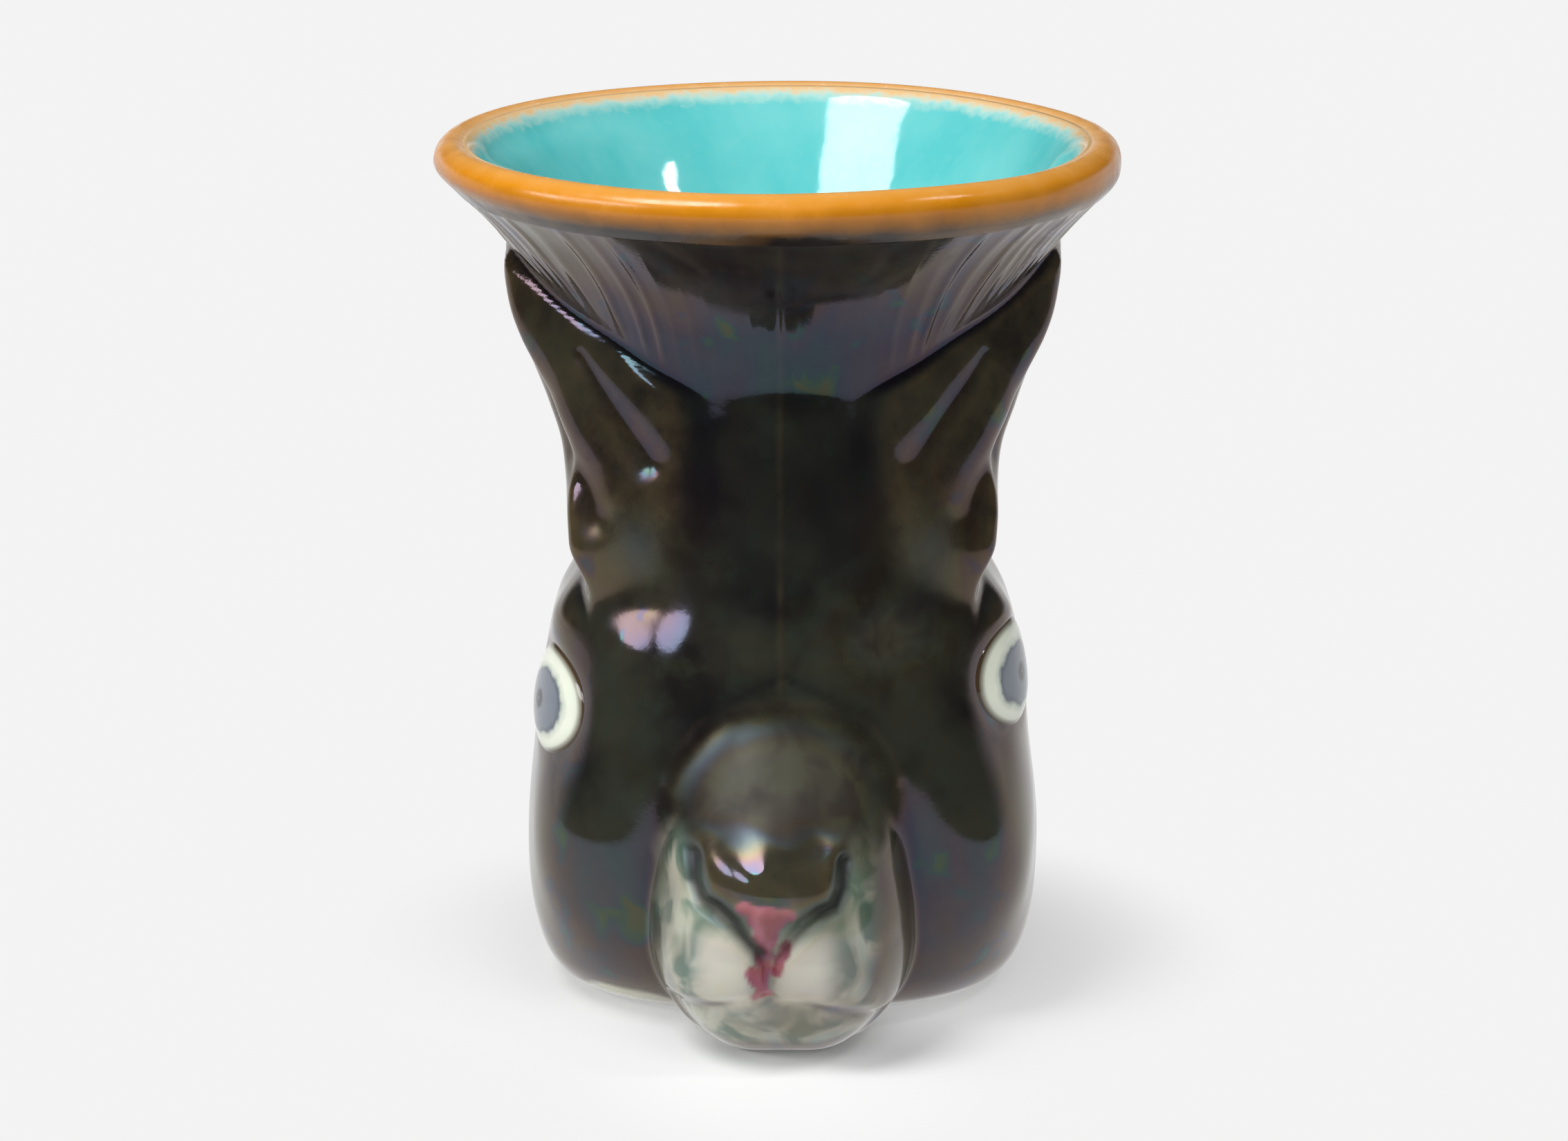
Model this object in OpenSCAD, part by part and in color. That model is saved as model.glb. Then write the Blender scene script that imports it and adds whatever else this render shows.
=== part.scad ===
// Hare's-head stirrup cup in glazed earthenware.
// The cup stands on its flat jaw with the mouth up. The face looks towards -Y, the lip's axis is Z
// and the floor is z = 0. Two pressed half shells meet at the moulding seam in the plane x = 0.
// The clay surface is a radius about the lip's axis, so every relief piece is seated on it with a
// named gap. Angles are in degrees from the face, positive towards +X.

/* [Cup] */
// Height from the floor to the top of the lip
cup_h = 125; // [118:1:140]
// Outside diameter of the lip
lip_d = 100; // [94:1:108]
// Radius of the rolled lip
lip_r = 2.75; // [2.4:0.05:3.1]
// Clay wall thickness
wall = 5; // [4:0.25:6]
// Clay thickness under the bowl
floor_t = 9; // [7:0.5:12]
// Height over which the bottom of the bowl rounds up into its wall
bowl_round = 16; // [12:1:20]
// Glaze thickness inside the bowl
lining_t = 0.6; // [0.4:0.1:1]
// Gap between a piece and what it is seated on
seat_gap = 0.2; // [0.15:0.05:0.3]

/* [Head] */
// Width of the flat jaw
jaw_w = 64; // [58:1:68]
// Width across the cheeks
cheek_w = 76; // [70:1:82]
// Height of the widest part of the cheeks
cheek_z = 24; // [20:1:28]
// Width across the brows
brow_w = 67; // [62:1:72]
// Height of the brows
brow_z = 56; // [53:1:60]
// Width of the nape, where the head meets the neck
nape_w = 54; // [51:0.2:58]
// Height of the nape
nape_z = 71; // [69:1:74]
// Reach of the flat jaw in front of the axis
jaw_reach = 28; // [25:0.5:31]
// Reach of the cheeks in front of the axis
cheek_reach = 42; // [40:0.2:44]
// Reach of the forehead in front of the axis
forehead_reach = 38.2; // [36:0.2:40]
// Reach of the back of the head behind the axis
back_reach = 33.4; // [31:0.2:36]
// How far each brow stands out over the eye
brow_rise = 1.5; // [0.8:0.1:2.2]
// How far each cheek stands out beside the muzzle
cheek_rise = 1.9; // [1:0.1:2.5]

/* [Muzzle] */
// Width of the muzzle
muzzle_w = 39.2; // [36:0.2:42]
// Reach of the muzzle in front of the axis
muzzle_reach = 57.5; // [54:0.5:60]
// Depth of the muzzle's rounding, from its widest part to its front
muzzle_depth = 28; // [25:0.5:30]
// Width of the flat front of the muzzle
muzzle_flat = 9.2; // [6:0.2:12]
// Height of the fullest part of the muzzle
muzzle_z = 17; // [15:0.5:19]
// Height of the muzzle's arch above its fullest part
arch_h = 36; // [33:0.5:38]
// Height of the nose, above which the bridge falls back to the forehead
nose_z = 28; // [27:0.2:29.5]
// Fall of the bridge for each unit of height
bridge_fall = 0.9; // [0.8:0.02:1]
// Height of the mouth line in the middle
mouth_z = 11.3; // [10.5:0.1:12]
// How far the chin is set back under the mouth line
chin_set = 2; // [1:0.1:3]
// How far the whisker pads, nose and chin stand out
pad_rise = 1.3; // [0.8:0.1:1.8]

/* [Eyes] */
// Angle of each eye from the face
eye_angle = 65; // [60:1:69]
// How far back each iris lies from the middle of its eye, as an angle
gaze = 1; // [0:0.5:3]
// How far back each pupil lies from the middle of its iris, as an angle
pupil_back = 5.5; // [3:0.5:6]
// Mean height of the eyes
eye_z = 46; // [44:0.5:48]
// How far the right eye stands above the mean, and the left below it
eye_skew = 1.5; // [0:0.1:2]
// Width of the eye along the cheek
eye_w = 21; // [19:0.2:22]
// Height of the eye
eye_h = 15; // [14:0.2:16]
// How far the eye bulges
eye_rise = 1.5; // [1:0.1:2.5]
// Width of the iris
iris_w = 12.4; // [11:0.2:13.4]
// Height of the iris
iris_h = 10.4; // [9:0.2:11]
// Width of the pupil
pupil_w = 3.4; // [2.6:0.2:4]
// Height of the pupil
pupil_h = 2.2; // [1.6:0.2:3]
// Thickness of a painted glaze spot
spot_t = 0.3; // [0.2:0.05:0.5]

/* [Ears] */
// Angle of the middle of each ear from the face
ear_angle = 72; // [68:1:76]
// Height of the middle of each ear
ear_z = 86; // [84:0.5:88]
// Reach from the middle of the ear to its tip
ear_tip = 28.5; // [27:0.5:29]
// Reach from the middle of the ear to its root on the crown
ear_root = 21; // [19:0.5:22]
// Reach from the middle of the ear to its back edge
ear_back = 15.5; // [14:0.5:17]
// Radius of the ear about the axis at its base
ear_base_r = 31.4; // [30.5:0.1:32]
// Radius of the ear's crest about the axis where it leaves the crown
ear_crest_r = 34.8; // [34:0.1:35.4]
// Radius of the ear about the axis at its tip
ear_tip_r = 40.8; // [39.5:0.1:41.5]
// Depth of the ear's hollow
ear_hollow = 4.5; // [3:0.1:5]

/* [Neck] */
// Width of the throat, the narrowest part of the neck
throat_w = 54; // [51:0.2:57]
// Height of the throat at its sides
throat_z = 90; // [88:0.5:92]
// Number of flutes pressed into the neck
flute_n = 30; // [20:2:36]
// Depth of a flute
flute_depth = 1; // [0.4:0.1:1.4]

/* [Hidden] */

brown_glaze = "#4a4038";
ochre_glaze = "#d99a1c";
turquoise_glaze = "#8fd6cf";
white_glaze = "#e9ede2";
grey_glaze = "#6f8090";
black_glaze = "#26242a";
pink_glaze = "#c07a83";
pale_glaze = "#c3c7b4";

deg_per_rad = 180 / PI;
// Middle of the lip's roll. The neck ends below the roll, under the lip's collar.
roll_r = lip_d / 2 - lip_r;
roll_z = cup_h - lip_r;
neck_top = roll_z - 1.2 * lip_r;
neck_r = roll_r + 0.53 * lip_r;

// Exponents of the rounded forms: jaw roll, neck flare, sections of the head and the neck, chin, arch.
jaw_power = 2.4;
flare_power = 1.53;
cheek_power = 2.75;
head_power = 2.45;
neck_power = 2;
chin_power = 2.2;
arch_power = 2.1;

// Heights and half sizes of the section at the jaw, cheeks, brows, nape and throat: to the side, the
// front and the back. In front the neck keeps falling back, so its throat is higher there.
levels = [0, cheek_z, brow_z, nape_z, throat_z];
front_levels = [0, cheek_z, brow_z, nape_z, throat_z + 2.5];
side_sizes = [jaw_w, cheek_w, brow_w, nape_w, throat_w] / 2;
front_sizes = [jaw_reach, cheek_reach, forehead_reach, nape_w * 0.608, throat_w * 0.539];
back_sizes = [jaw_reach * 0.9, back_reach, back_reach * 0.955, nape_w * 0.54, throat_w * 0.523];

// The muzzle is a rounded block: a flat front between two elliptical sides, cut off at the floor. Its
// flat front narrows to the nose, and over the nose its bridge falls back to the forehead.
muzzle_mid = muzzle_reach - muzzle_depth;
chin_h = muzzle_z * 1.24;
nose_flat = 0.15;
flat_z = [muzzle_z + 2, nose_z - 1];
bridge_round = muzzle_w / 8;
// Blend of the muzzle into the face: tight at the sides of the chin, wider over the bridge.
tight_blend = muzzle_w / 25;
wide_blend = muzzle_w / 15;
blend_z = [muzzle_z + 0.2 * arch_h, muzzle_z + 0.8 * arch_h];

// Reach of each soft form: an angle round the head and a height.
brow_spread = [14, (nape_z - brow_z) * 0.3];
cheek_spread = [16, cheek_z * 0.42];
cheek_angle = eye_angle - 20;
// The muzzle's own relief fades in over this stretch in front of the axis.
muzzle_front = [muzzle_mid + 0.25 * muzzle_depth, muzzle_mid + 0.46 * muzzle_depth];
// Drop of the mouth from its middle to the sides of the muzzle, and the height of the lip's edge.
mouth_drop = muzzle_w / 5;
mouth_edge = muzzle_w / 20;
// Flutes fade in above the throat, out below the lip, and are faint over the forehead.
flute_start = [throat_z - 0.2 * (neck_top - throat_z), throat_z + 0.24 * (neck_top - throat_z)];
flute_end = neck_top - lip_r * 1.5;
flute_angle = [22, 40];
flute_faint = 0.25;

// Grid of the clay surface: columns and rows outside, columns and rows in the bowl.
in_cols = 30;
in_rows = 16;
out_cols = 2 * in_cols;
out_rows = 38;

function clamp01(t) = max(0, min(1, t));
function ease(a, b, x) = let(t = clamp01((x - a) / (b - a))) t * t * (3 - 2 * t);
function bump(d2) = exp(-d2);
function soft_form(d, spread) = bump((d[0] / spread[0])^2 + (d[1] / spread[1])^2);
function smooth_max(a, b, k) =
    let(h = clamp01(0.5 + 0.5 * (a - b) / k))
    b + (a - b) * h + k * h * (1 - h);

// Cubic between two values with the slopes at its ends.
function cubic(t, h, v0, m0, v1, m1) =
    v0 * (2 * t^3 - 3 * t^2 + 1) + h * m0 * (t^3 - 2 * t^2 + t)
    + v1 * (3 * t^2 - 2 * t^3) + h * m1 * (t^3 - t^2);

// Half size of the clay section at height z, from its levels and the sizes there.
function between(z, v, s, i, m0, m1) =
    let(h = v[i + 1] - v[i]) cubic((z - v[i]) / h, h, s[i], m0, s[i + 1], m1);
function fall(v, s, i) = (s[i + 1] - s[i]) / (v[i + 1] - v[i]);
function profile(z, v, s) =
    z < v[1] ? s[0] + (s[1] - s[0]) * pow(1 - pow(1 - z / v[1], jaw_power), 1 / jaw_power)
    : z < v[2] ? between(z, v, s, 1, 0, fall(v, s, 2))
    : z < v[3] ? between(z, v, s, 2, fall(v, s, 2), fall(v, s, 3))
    : z < v[4] ? between(z, v, s, 3, fall(v, s, 3), 0)
    : s[4] + (neck_r - s[4]) * pow((z - v[4]) / (neck_top - v[4]), flare_power);

// Radius of the head and neck without the muzzle: a superellipse, squarest at the cheeks, that turns
// round towards the throat.
function section(a, z) =
    let(n = cheek_power + (head_power - cheek_power) * ease(cheek_z, brow_z, z)
        + (neck_power - head_power) * ease(nape_z, throat_z, z))
    let(w = profile(z, levels, side_sizes))
    let(d = a < 90 ? profile(z, front_levels, front_sizes) : profile(z, levels, back_sizes))
    pow(pow(sin(a) / w, n) + pow(abs(cos(a)) / d, n), -1 / n);

// Reach of the muzzle at height z, with the nose rounded into the bridge.
function bridge(z) = muzzle_reach + 1 - smooth_max(ease(nose_z - 4, muzzle_z, z),
    bridge_fall * (z - nose_z), bridge_round);
function rounding(q, n) = q <= 0 ? 1 : pow(1 - pow(q, n), 1 / n);

// Radius of the muzzle: where a ray from the axis leaves the rounded block.
function muzzle(a, z) =
    let(up = (z - muzzle_z) / arch_h, down = (muzzle_z - z) / chin_h)
    up > 0.999 || a > 89 ? 0 :
    let(chin = rounding(down, chin_power), arch = chin * rounding(up, arch_power))
    let(x0 = muzzle_flat / 2 * (0.55 + 0.45 * arch) * (1 - (1 - nose_flat) * ease(flat_z[0], flat_z[1], z)))
    let(ax = muzzle_w / 2 * arch - x0, ay = (bridge(z) - muzzle_mid) * chin)
    let(s = sin(a), c = cos(a), flat = (muzzle_mid + ay) / c)
    flat * s < x0 ? flat :
    let(A = (s / ax)^2 + (c / ay)^2, B = -(x0 * s / ax^2 + muzzle_mid * c / ay^2))
    let(C = (x0 / ax)^2 + (muzzle_mid / ay)^2 - 1, d = B * B - A * C)
    (-B + sign(d) * sqrt(abs(d))) / A;

// The clay before its fine relief: head, neck and muzzle in one.
function rough(a, z) = smooth_max(section(a, z), muzzle(a, z),
    tight_blend + (wide_blend - tight_blend) * ease(blend_z[0], blend_z[1], z));

// The finished outside of the clay: brow, cheek, chin and flutes added.
function clay(a, z) =
    let(r = rough(a, z), x = min(r * sin(a), muzzle_w / 2))
    let(brow = brow_rise * soft_form([a - eye_angle, z - brow_z], brow_spread))
    let(cheek = cheek_rise * soft_form([a - cheek_angle, z - cheek_z], cheek_spread))
    let(mouth = mouth_z - mouth_drop * (2 * x / muzzle_w)^2)
    let(ahead = ease(muzzle_front[0], muzzle_front[1], r * cos(a)))
    let(chin = chin_set * ahead * (1 - ease(-mouth_edge, 0, z - mouth)))
    let(fade = ease(flute_start[0], flute_start[1], z) * (1 - ease(flute_end, neck_top, z)))
    let(strength = flute_faint + (1 - flute_faint) * ease(flute_angle[0], flute_angle[1], a))
    let(flute = flute_depth / 2 * cos(flute_n * a) * fade * strength * off_ear(a, z))
    r + brow + cheek - chin + flute;

// Outline of the ear: reach from its middle at each direction, from the tip round by the root and the base.
ear_outline = [[62, ear_tip], [77, ear_tip * 0.96], [93, ear_root * 1.14], [112, ear_root * 1.02],
    [139, ear_root * 0.945], [171, ear_root * 1.03], [196, ear_root * 1.27], [215, ear_root * 1.2],
    [236, ear_root * 1.05], [262, ear_root * 1.03], [280, ear_root * 1.03], [306, ear_back * 1.24],
    [337, ear_back * 1.06], [380, ear_back * 1.18], [404, ear_tip * 0.86], [422, ear_tip]];
function knot(i) = ear_outline[max(0, min(len(ear_outline) - 1, i))];
function slope(i) = (knot(i + 1)[1] - knot(i - 1)[1]) / (knot(i + 1)[0] - knot(i - 1)[0]);
function ear_reach(dir, i = 0) =
    dir > knot(i + 1)[0] && i < len(ear_outline) - 2 ? ear_reach(dir, i + 1) :
    let(h = knot(i + 1)[0] - knot(i)[0])
    cubic((dir - knot(i)[0]) / h, h, knot(i)[1], slope(i), knot(i + 1)[1], slope(i + 1));
function turn_past_tip(dir) = dir < ear_outline[0][0] ? dir + 360 : dir;

// Where a point lies on the ear: direction from its middle, and share of the reach there.
ear_nominal_r = 0.53 * nape_w;
function ear_x(a) = (a - ear_angle) / deg_per_rad * ear_nominal_r;
function ear_dir(a, z) = turn_past_tip(atan2(z - ear_z, ear_x(a)));
function ear_q(a, z) = norm([ear_x(a), z - ear_z]) / ear_reach(ear_dir(a, z));

// Crest of the ear, from the crown up to the tip: height and place from the ear's middle, in shares of
// the root's reach. Over the crest the ear falls to the neck within crest_fall.
ear_crest = [[-1.14, -1.17], [-0.76, -1.1], [-0.48, -1], [0.02, -0.76], [0.43, -0.5], [0.71, -0.21],
    [0.88, 0.07], [1, 0.38], [1.14, 0.86]] * ear_root;
crest_fall = ear_root * 0.286;
function crest_knot(i) = ear_crest[max(0, min(len(ear_crest) - 1, i))];
function crest_at(h, i = 0) =
    h > crest_knot(i + 1)[0] && i < len(ear_crest) - 2 ? crest_at(h, i + 1) :
    let(t = clamp01((h - crest_knot(i)[0]) / (crest_knot(i + 1)[0] - crest_knot(i)[0])))
    let(lean = (crest_knot(i + 1)[1] - crest_knot(i)[1]) / (crest_knot(i + 1)[0] - crest_knot(i)[0]))
    [crest_knot(i)[1] + t * (crest_knot(i + 1)[1] - crest_knot(i)[1]), norm([1, lean])];
function inside_crest(a, z) = let(c = crest_at(z - ear_z)) (ear_x(a) - c[0]) / c[1];
function off_ear(a, z) =
    max(ease(1, 1.15, ear_q(a, z)), ease(crest_fall, 1.4 * crest_fall, -inside_crest(a, z)));

// Middle line of the ear's hollow, from its base to near the tip, in shares of the root's reach.
hollow_line = [[-0.57, -0.62], [-0.29, -0.45], [-0.05, -0.24], [0.17, 0.02], [0.36, 0.33],
    [0.52, 0.71]] * ear_root;
hollow_base = hollow_line[0][1];
hollow_top = hollow_line[5][1];
hollow_width = ear_root / 8;
function to_segment(p, a, b) =
    let(t = clamp01((p - a) * (b - a) / ((b - a) * (b - a))))
    norm(p - a - t * (b - a));
function to_hollow(p) = min([for (i = [0:len(hollow_line) - 2])
    to_segment(p, hollow_line[i], hollow_line[i + 1])]);

// Radius of the ear about the axis: it leans out from base to tip, and its crest starts further out.
lean_z = [ear_z - 0.5 * ear_root, ear_z + 0.95 * ear_root];
crest_side = [-0.76 * ear_root, 0.1 * ear_root];
function ear_r(a, z) =
    let(low = ear_base_r + (ear_crest_r - ear_base_r) * (1 - ease(crest_side[0], crest_side[1], ear_x(a))))
    low + (ear_tip_r - low) * ease(lean_z[0], lean_z[1], z);

// Height of the ear over the neck: a crest with a soft root, a folded hollow and a rounded back edge.
function ear_height(a, z) =
    let(q = ear_q(a, z), dir = ear_dir(a, z), over = inside_crest(a, z))
    let(up = clamp01((z - ear_z - hollow_base) / (hollow_top - hollow_base)))
    let(back = 1 - ease(0.6, 1, q) * ease(196, 236, dir) * (1 - ease(384, 415, dir)))
    let(root = 0.25 + 0.75 * ease(-1.05, -0.57, (z - ear_z + 0.4 * over) / ear_root))
    let(height = max(0, ear_r(a, z) - section(a, z)) * ease(-crest_fall, 1, over) * back * root)
    let(depth = ear_hollow * (0.33 + 0.67 * ease(0, 0.35, up) - 0.67 * ease(0.5, 1, up)))
    height - depth * bump((to_hollow([ear_x(a), z - ear_z]) / hollow_width)^2) * ease(0, 0.25, 1 - q);

// Inside of the clay: a wall behind the rough surface, thicker under the lip, rounded down to the floor
// of the bowl.
lip_wall = 1.44 * wall;
thick_z = [throat_z + 10, neck_top];
steep_z = [throat_z + 4, throat_z + 12];
function bowl_r(a, z) =
    let(b = a > 180 ? 360 - a : a, reach = wall / 2 * (1 - ease(steep_z[0], steep_z[1], z)))
    let(near = [for (s = [-1, 0, 1]) rough(b, max(0, min(neck_top, z + s * reach)))])
    let(behind = wall + (lip_wall - wall) * ease(thick_z[0], thick_z[1], z))
    let(t = clamp01((z - floor_t) / bowl_round))
    (min(near) - behind) * sqrt(1 - (1 - t)^2);

function point(r, a, z) = [r * sin(a), -r * cos(a), z];
function out_z(i) = neck_top * pow(i / out_rows, 1.25);
function in_z(i) = floor_t + (neck_top - floor_t) * pow(i / in_rows, 1.5);

// Triangles between two lists of point numbers, each rising through its list of heights.
function zip(p, pz, q, qz, i = 0, k = 0) =
    i == len(p) - 1 && k == len(q) - 1 ? [] :
    k == len(q) - 1 || (i < len(p) - 1 && pz[i + 1] <= qz[k + 1])
    ? concat([[p[i], q[k], p[i + 1]]], zip(p, pz, q, qz, i + 1, k))
    : concat([[p[i], q[k], q[k + 1]]], zip(p, pz, q, qz, i, k + 1));
function turned(faces) = [for (f = faces) [f[0], f[2], f[1]]];

// One pressed half: the outside, the bowl, the flat jaw, the seam face and the edge under the lip.
module half_shell() {
    no = out_cols + 1;
    ni = in_cols + 1;
    start = no * (out_rows + 1);
    pole = start + ni * in_rows;
    heel = pole + 1;
    function o(i, j) = i * no + j;
    function n(i, j) = start + (i - 1) * ni + j;
    outside = [for (i = [0:out_rows], j = [0:out_cols])
        let(a = 180 * j / out_cols, z = out_z(i)) point(clay(a, z), a, z)];
    inside = [for (i = [1:in_rows], j = [0:in_cols])
        let(a = 180 * j / in_cols, z = in_z(i)) point(bowl_r(a, z), a, z)];
    out_faces = [for (i = [0:out_rows - 1], j = [0:out_cols - 1], f = [0, 1])
        f == 0 ? [o(i, j), o(i + 1, j), o(i + 1, j + 1)] : [o(i, j), o(i + 1, j + 1), o(i, j + 1)]];
    in_faces = [for (i = [1:in_rows - 1], j = [0:in_cols - 1], f = [0, 1])
        f == 0 ? [n(i, j), n(i + 1, j + 1), n(i + 1, j)] : [n(i, j), n(i, j + 1), n(i + 1, j + 1)]];
    bottom_faces = [for (j = [0:in_cols - 1]) [pole, n(1, j + 1), n(1, j)]];
    jaw_faces = [for (j = [0:out_cols - 1]) [heel, o(0, j), o(0, j + 1)]];
    edge_faces = [for (j = [0:in_cols - 1], f = [0:2])
        let(a = o(out_rows, 2 * j), b = o(out_rows, 2 * j + 1), c = o(out_rows, 2 * j + 2))
        let(d = n(in_rows, j), e = n(in_rows, j + 1))
        f == 0 ? [a, d, b] : f == 1 ? [b, d, e] : [b, e, c]];
    out_heights = [for (i = [0:out_rows]) out_z(i)];
    in_heights = concat([floor_t], [for (i = [1:in_rows]) in_z(i)]);
    function out_line(j) = [for (i = [0:out_rows]) o(i, j)];
    function in_line(j) = concat([pole], [for (i = [1:in_rows]) n(i, j)]);
    front_seam = zip(out_line(0), out_heights, in_line(0), in_heights);
    back_seam = turned(zip(out_line(out_cols), out_heights, in_line(in_cols), in_heights));
    heel_seam = [[heel, pole, o(0, 0)], [heel, o(0, out_cols), pole]];
    polyhedron(concat(outside, inside, [[0, 0, floor_t], [0, 0, 0]]),
        concat(out_faces, in_faces, bottom_faces, jaw_faces, edge_faces,
            front_seam, back_seam, heel_seam));
}

// A coat or relief piece seated on a surface: rings of points from a middle to an outline, in two layers.
// middle and outline are [angle, z] pairs. low and high give the radius at an angle, a height and a share
// of the way from the middle to the outline.
module seated(middle, outline, rings, low, high) {
    m = len(outline);
    half = 1 + rings * m;
    function at(i, j) = middle + (outline[j] - middle) * i / rings;
    function layer(f) = concat([point(f(middle[0], middle[1], 0), middle[0], middle[1])],
        [for (i = [1:rings], j = [0:m - 1]) let(p = at(i, j)) point(f(p[0], p[1], i / rings), p[0], p[1])]);
    function t(i, j) = 1 + (i - 1) * m + j % m;
    function b(i, j) = half + t(i, j);
    caps = [for (j = [0:m - 1], f = [0, 1])
        f == 0 ? [0, t(1, j + 1), t(1, j)] : [half, b(1, j), b(1, j + 1)]];
    bands = [for (i = [1:1:rings - 1], j = [0:m - 1], f = [0:3])
        f == 0 ? [t(i, j), t(i, j + 1), t(i + 1, j + 1)]
        : f == 1 ? [t(i, j), t(i + 1, j + 1), t(i + 1, j)]
        : f == 2 ? [b(i, j), b(i + 1, j + 1), b(i, j + 1)] : [b(i, j), b(i + 1, j), b(i + 1, j + 1)]];
    rim = [for (j = [0:m - 1], f = [0, 1])
        let(x = t(rings, j), y = t(rings, j + 1), v = b(rings, j), w = b(rings, j + 1))
        f == 0 ? [x, y, w] : [x, w, v]];
    polyhedron(concat(layer(high), layer(low)), concat(caps, bands, rim));
}

// Surfaces that pieces are seated on, outwards from the clay.
function seat(a, z) = clay(a, z) + seat_gap;
function eye_q2(a, z, z0) = ((a - eye_angle) / eye_half_angle)^2 + ((z - z0) / (eye_h / 2))^2;
function eye_top(a, z, z0) = seat(a, z) + spot_t + eye_rise * (1 - eye_q2(a, z, z0));
function iris_top(a, z, z0) = eye_top(a, z, z0) + seat_gap + spot_t;
iris_angle = eye_angle + gaze;
pupil_angle = iris_angle + pupil_back;

// Half an eye's width as an angle, at the radius of the clay behind the eye.
eye_half_angle = eye_w / (brow_w + 2 * brow_rise + 2 * eye_rise) * deg_per_rad;
function oval(mid, w, h, sides) = [for (j = [0:sides - 1])
    mid + [w / eye_w * eye_half_angle * cos(360 * j / sides), h / 2 * sin(360 * j / sides)]];

module eye(z0) color(white_glaze)
    seated([eye_angle, z0], oval([eye_angle, z0], eye_w, eye_h, 24), 4,
        function(a, z, q) seat(a, z), function(a, z, q) eye_top(a, z, z0));

module iris(z0) color(grey_glaze)
    seated([iris_angle, z0], oval([iris_angle, z0], iris_w, iris_h, 20), 3,
        function(a, z, q) eye_top(a, z, z0) + seat_gap, function(a, z, q) iris_top(a, z, z0));

module pupil(z0) color(black_glaze)
    seated([pupil_angle, z0], oval([pupil_angle, z0], pupil_w, pupil_h, 16), 2,
        function(a, z, q) iris_top(a, z, z0) + seat_gap,
        function(a, z, q) iris_top(a, z, z0) + seat_gap + spot_t);

module ear() color(brown_glaze) {
    spokes = 44;
    outline = [for (j = [0:spokes - 1])
        let(dir = ear_outline[0][0] + 360 * j / spokes, reach = ear_reach(turn_past_tip(dir)))
        [ear_angle + reach * cos(dir) / ear_nominal_r * deg_per_rad, ear_z + reach * sin(dir)]];
    seated([ear_angle, ear_z], outline, 12,
        function(a, z, q) seat(a, z), function(a, z, q) seat(a, z) + spot_t + max(0, ear_height(a, z)));
}

// Outlines and middles on the muzzle, along its front from the seam and up from the mouth.
muzzle_unit = muzzle_w / 40;
function on_muzzle(p) = [p[0] / muzzle_reach * deg_per_rad, mouth_z + p[1]];
function both_sides(points) = concat(points,
    [for (i = [len(points) - 1:-1:0]) if (points[i][0] > 0) [-points[i][0], points[i][1]]]);
function placed(points) = [for (p = points) on_muzzle(p)];
nose_mid = [0, 12.6] * muzzle_unit;
nose_right = [[0, 15.4], [4.6, 15.8], [8.4, 15.4], [8.8, 13.6], [7, 12], [4.6, 10.6], [2.2, 8],
    [0, 5.6]] * muzzle_unit;
pad_mid = [8.4, 5.4] * muzzle_unit;
pad_right = [[1, 1], [1, 4.4], [3.2, 6.6], [5.6, 9.2], [8, 10.8], [10.4, 12.4], [12.4, 14], [14, 12],
    [14.8, 8.4], [14.8, 3.6], [14, 0], [12.4, -1.8], [8.6, -0.2], [4.6, 0.8]] * muzzle_unit;
chin_mid = [0, -6] * muzzle_unit;
chin_right = [[0, -2.2], [4.6, -2.6], [8.6, -3.6], [11.8, -5.4], [12.2, -7.4], [10, -9.2], [5, -9.8],
    [0, -9.9]] * muzzle_unit;
function dome(a, z, q) = seat(abs(a), z) + spot_t + (pad_rise - spot_t) * (1 - q * q);

module nose() color(pink_glaze)
    seated(on_muzzle(nose_mid), placed(both_sides(nose_right)), 4,
        function(a, z, q) seat(abs(a), z), function(a, z, q) dome(a, z, q));

module pad() color(pale_glaze)
    seated(on_muzzle(pad_mid), placed(pad_right), 4,
        function(a, z, q) seat(abs(a), z), function(a, z, q) dome(a, z, q));

module chin() color(pale_glaze)
    seated(on_muzzle(chin_mid), placed(both_sides(chin_right)), 3,
        function(a, z, q) seat(abs(a), z), function(a, z, q) dome(a, z, q));

// The rolled lip on its collar, which runs into the roll at these angles: outside below its middle and
// inside above it.
collar_out = 25;
collar_in = 35;
module lip() color(ochre_glaze)
    rotate_extrude($fn = 128) {
        translate([roll_r, roll_z]) circle(lip_r, $fn = 48);
        polygon([[bowl_r(0, neck_top), neck_top], [neck_r, neck_top],
            [roll_r + lip_r * cos(collar_out), roll_z - lip_r * sin(collar_out)],
            [roll_r - lip_r * cos(collar_in), roll_z + lip_r * sin(collar_in)]]);
    }

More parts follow.
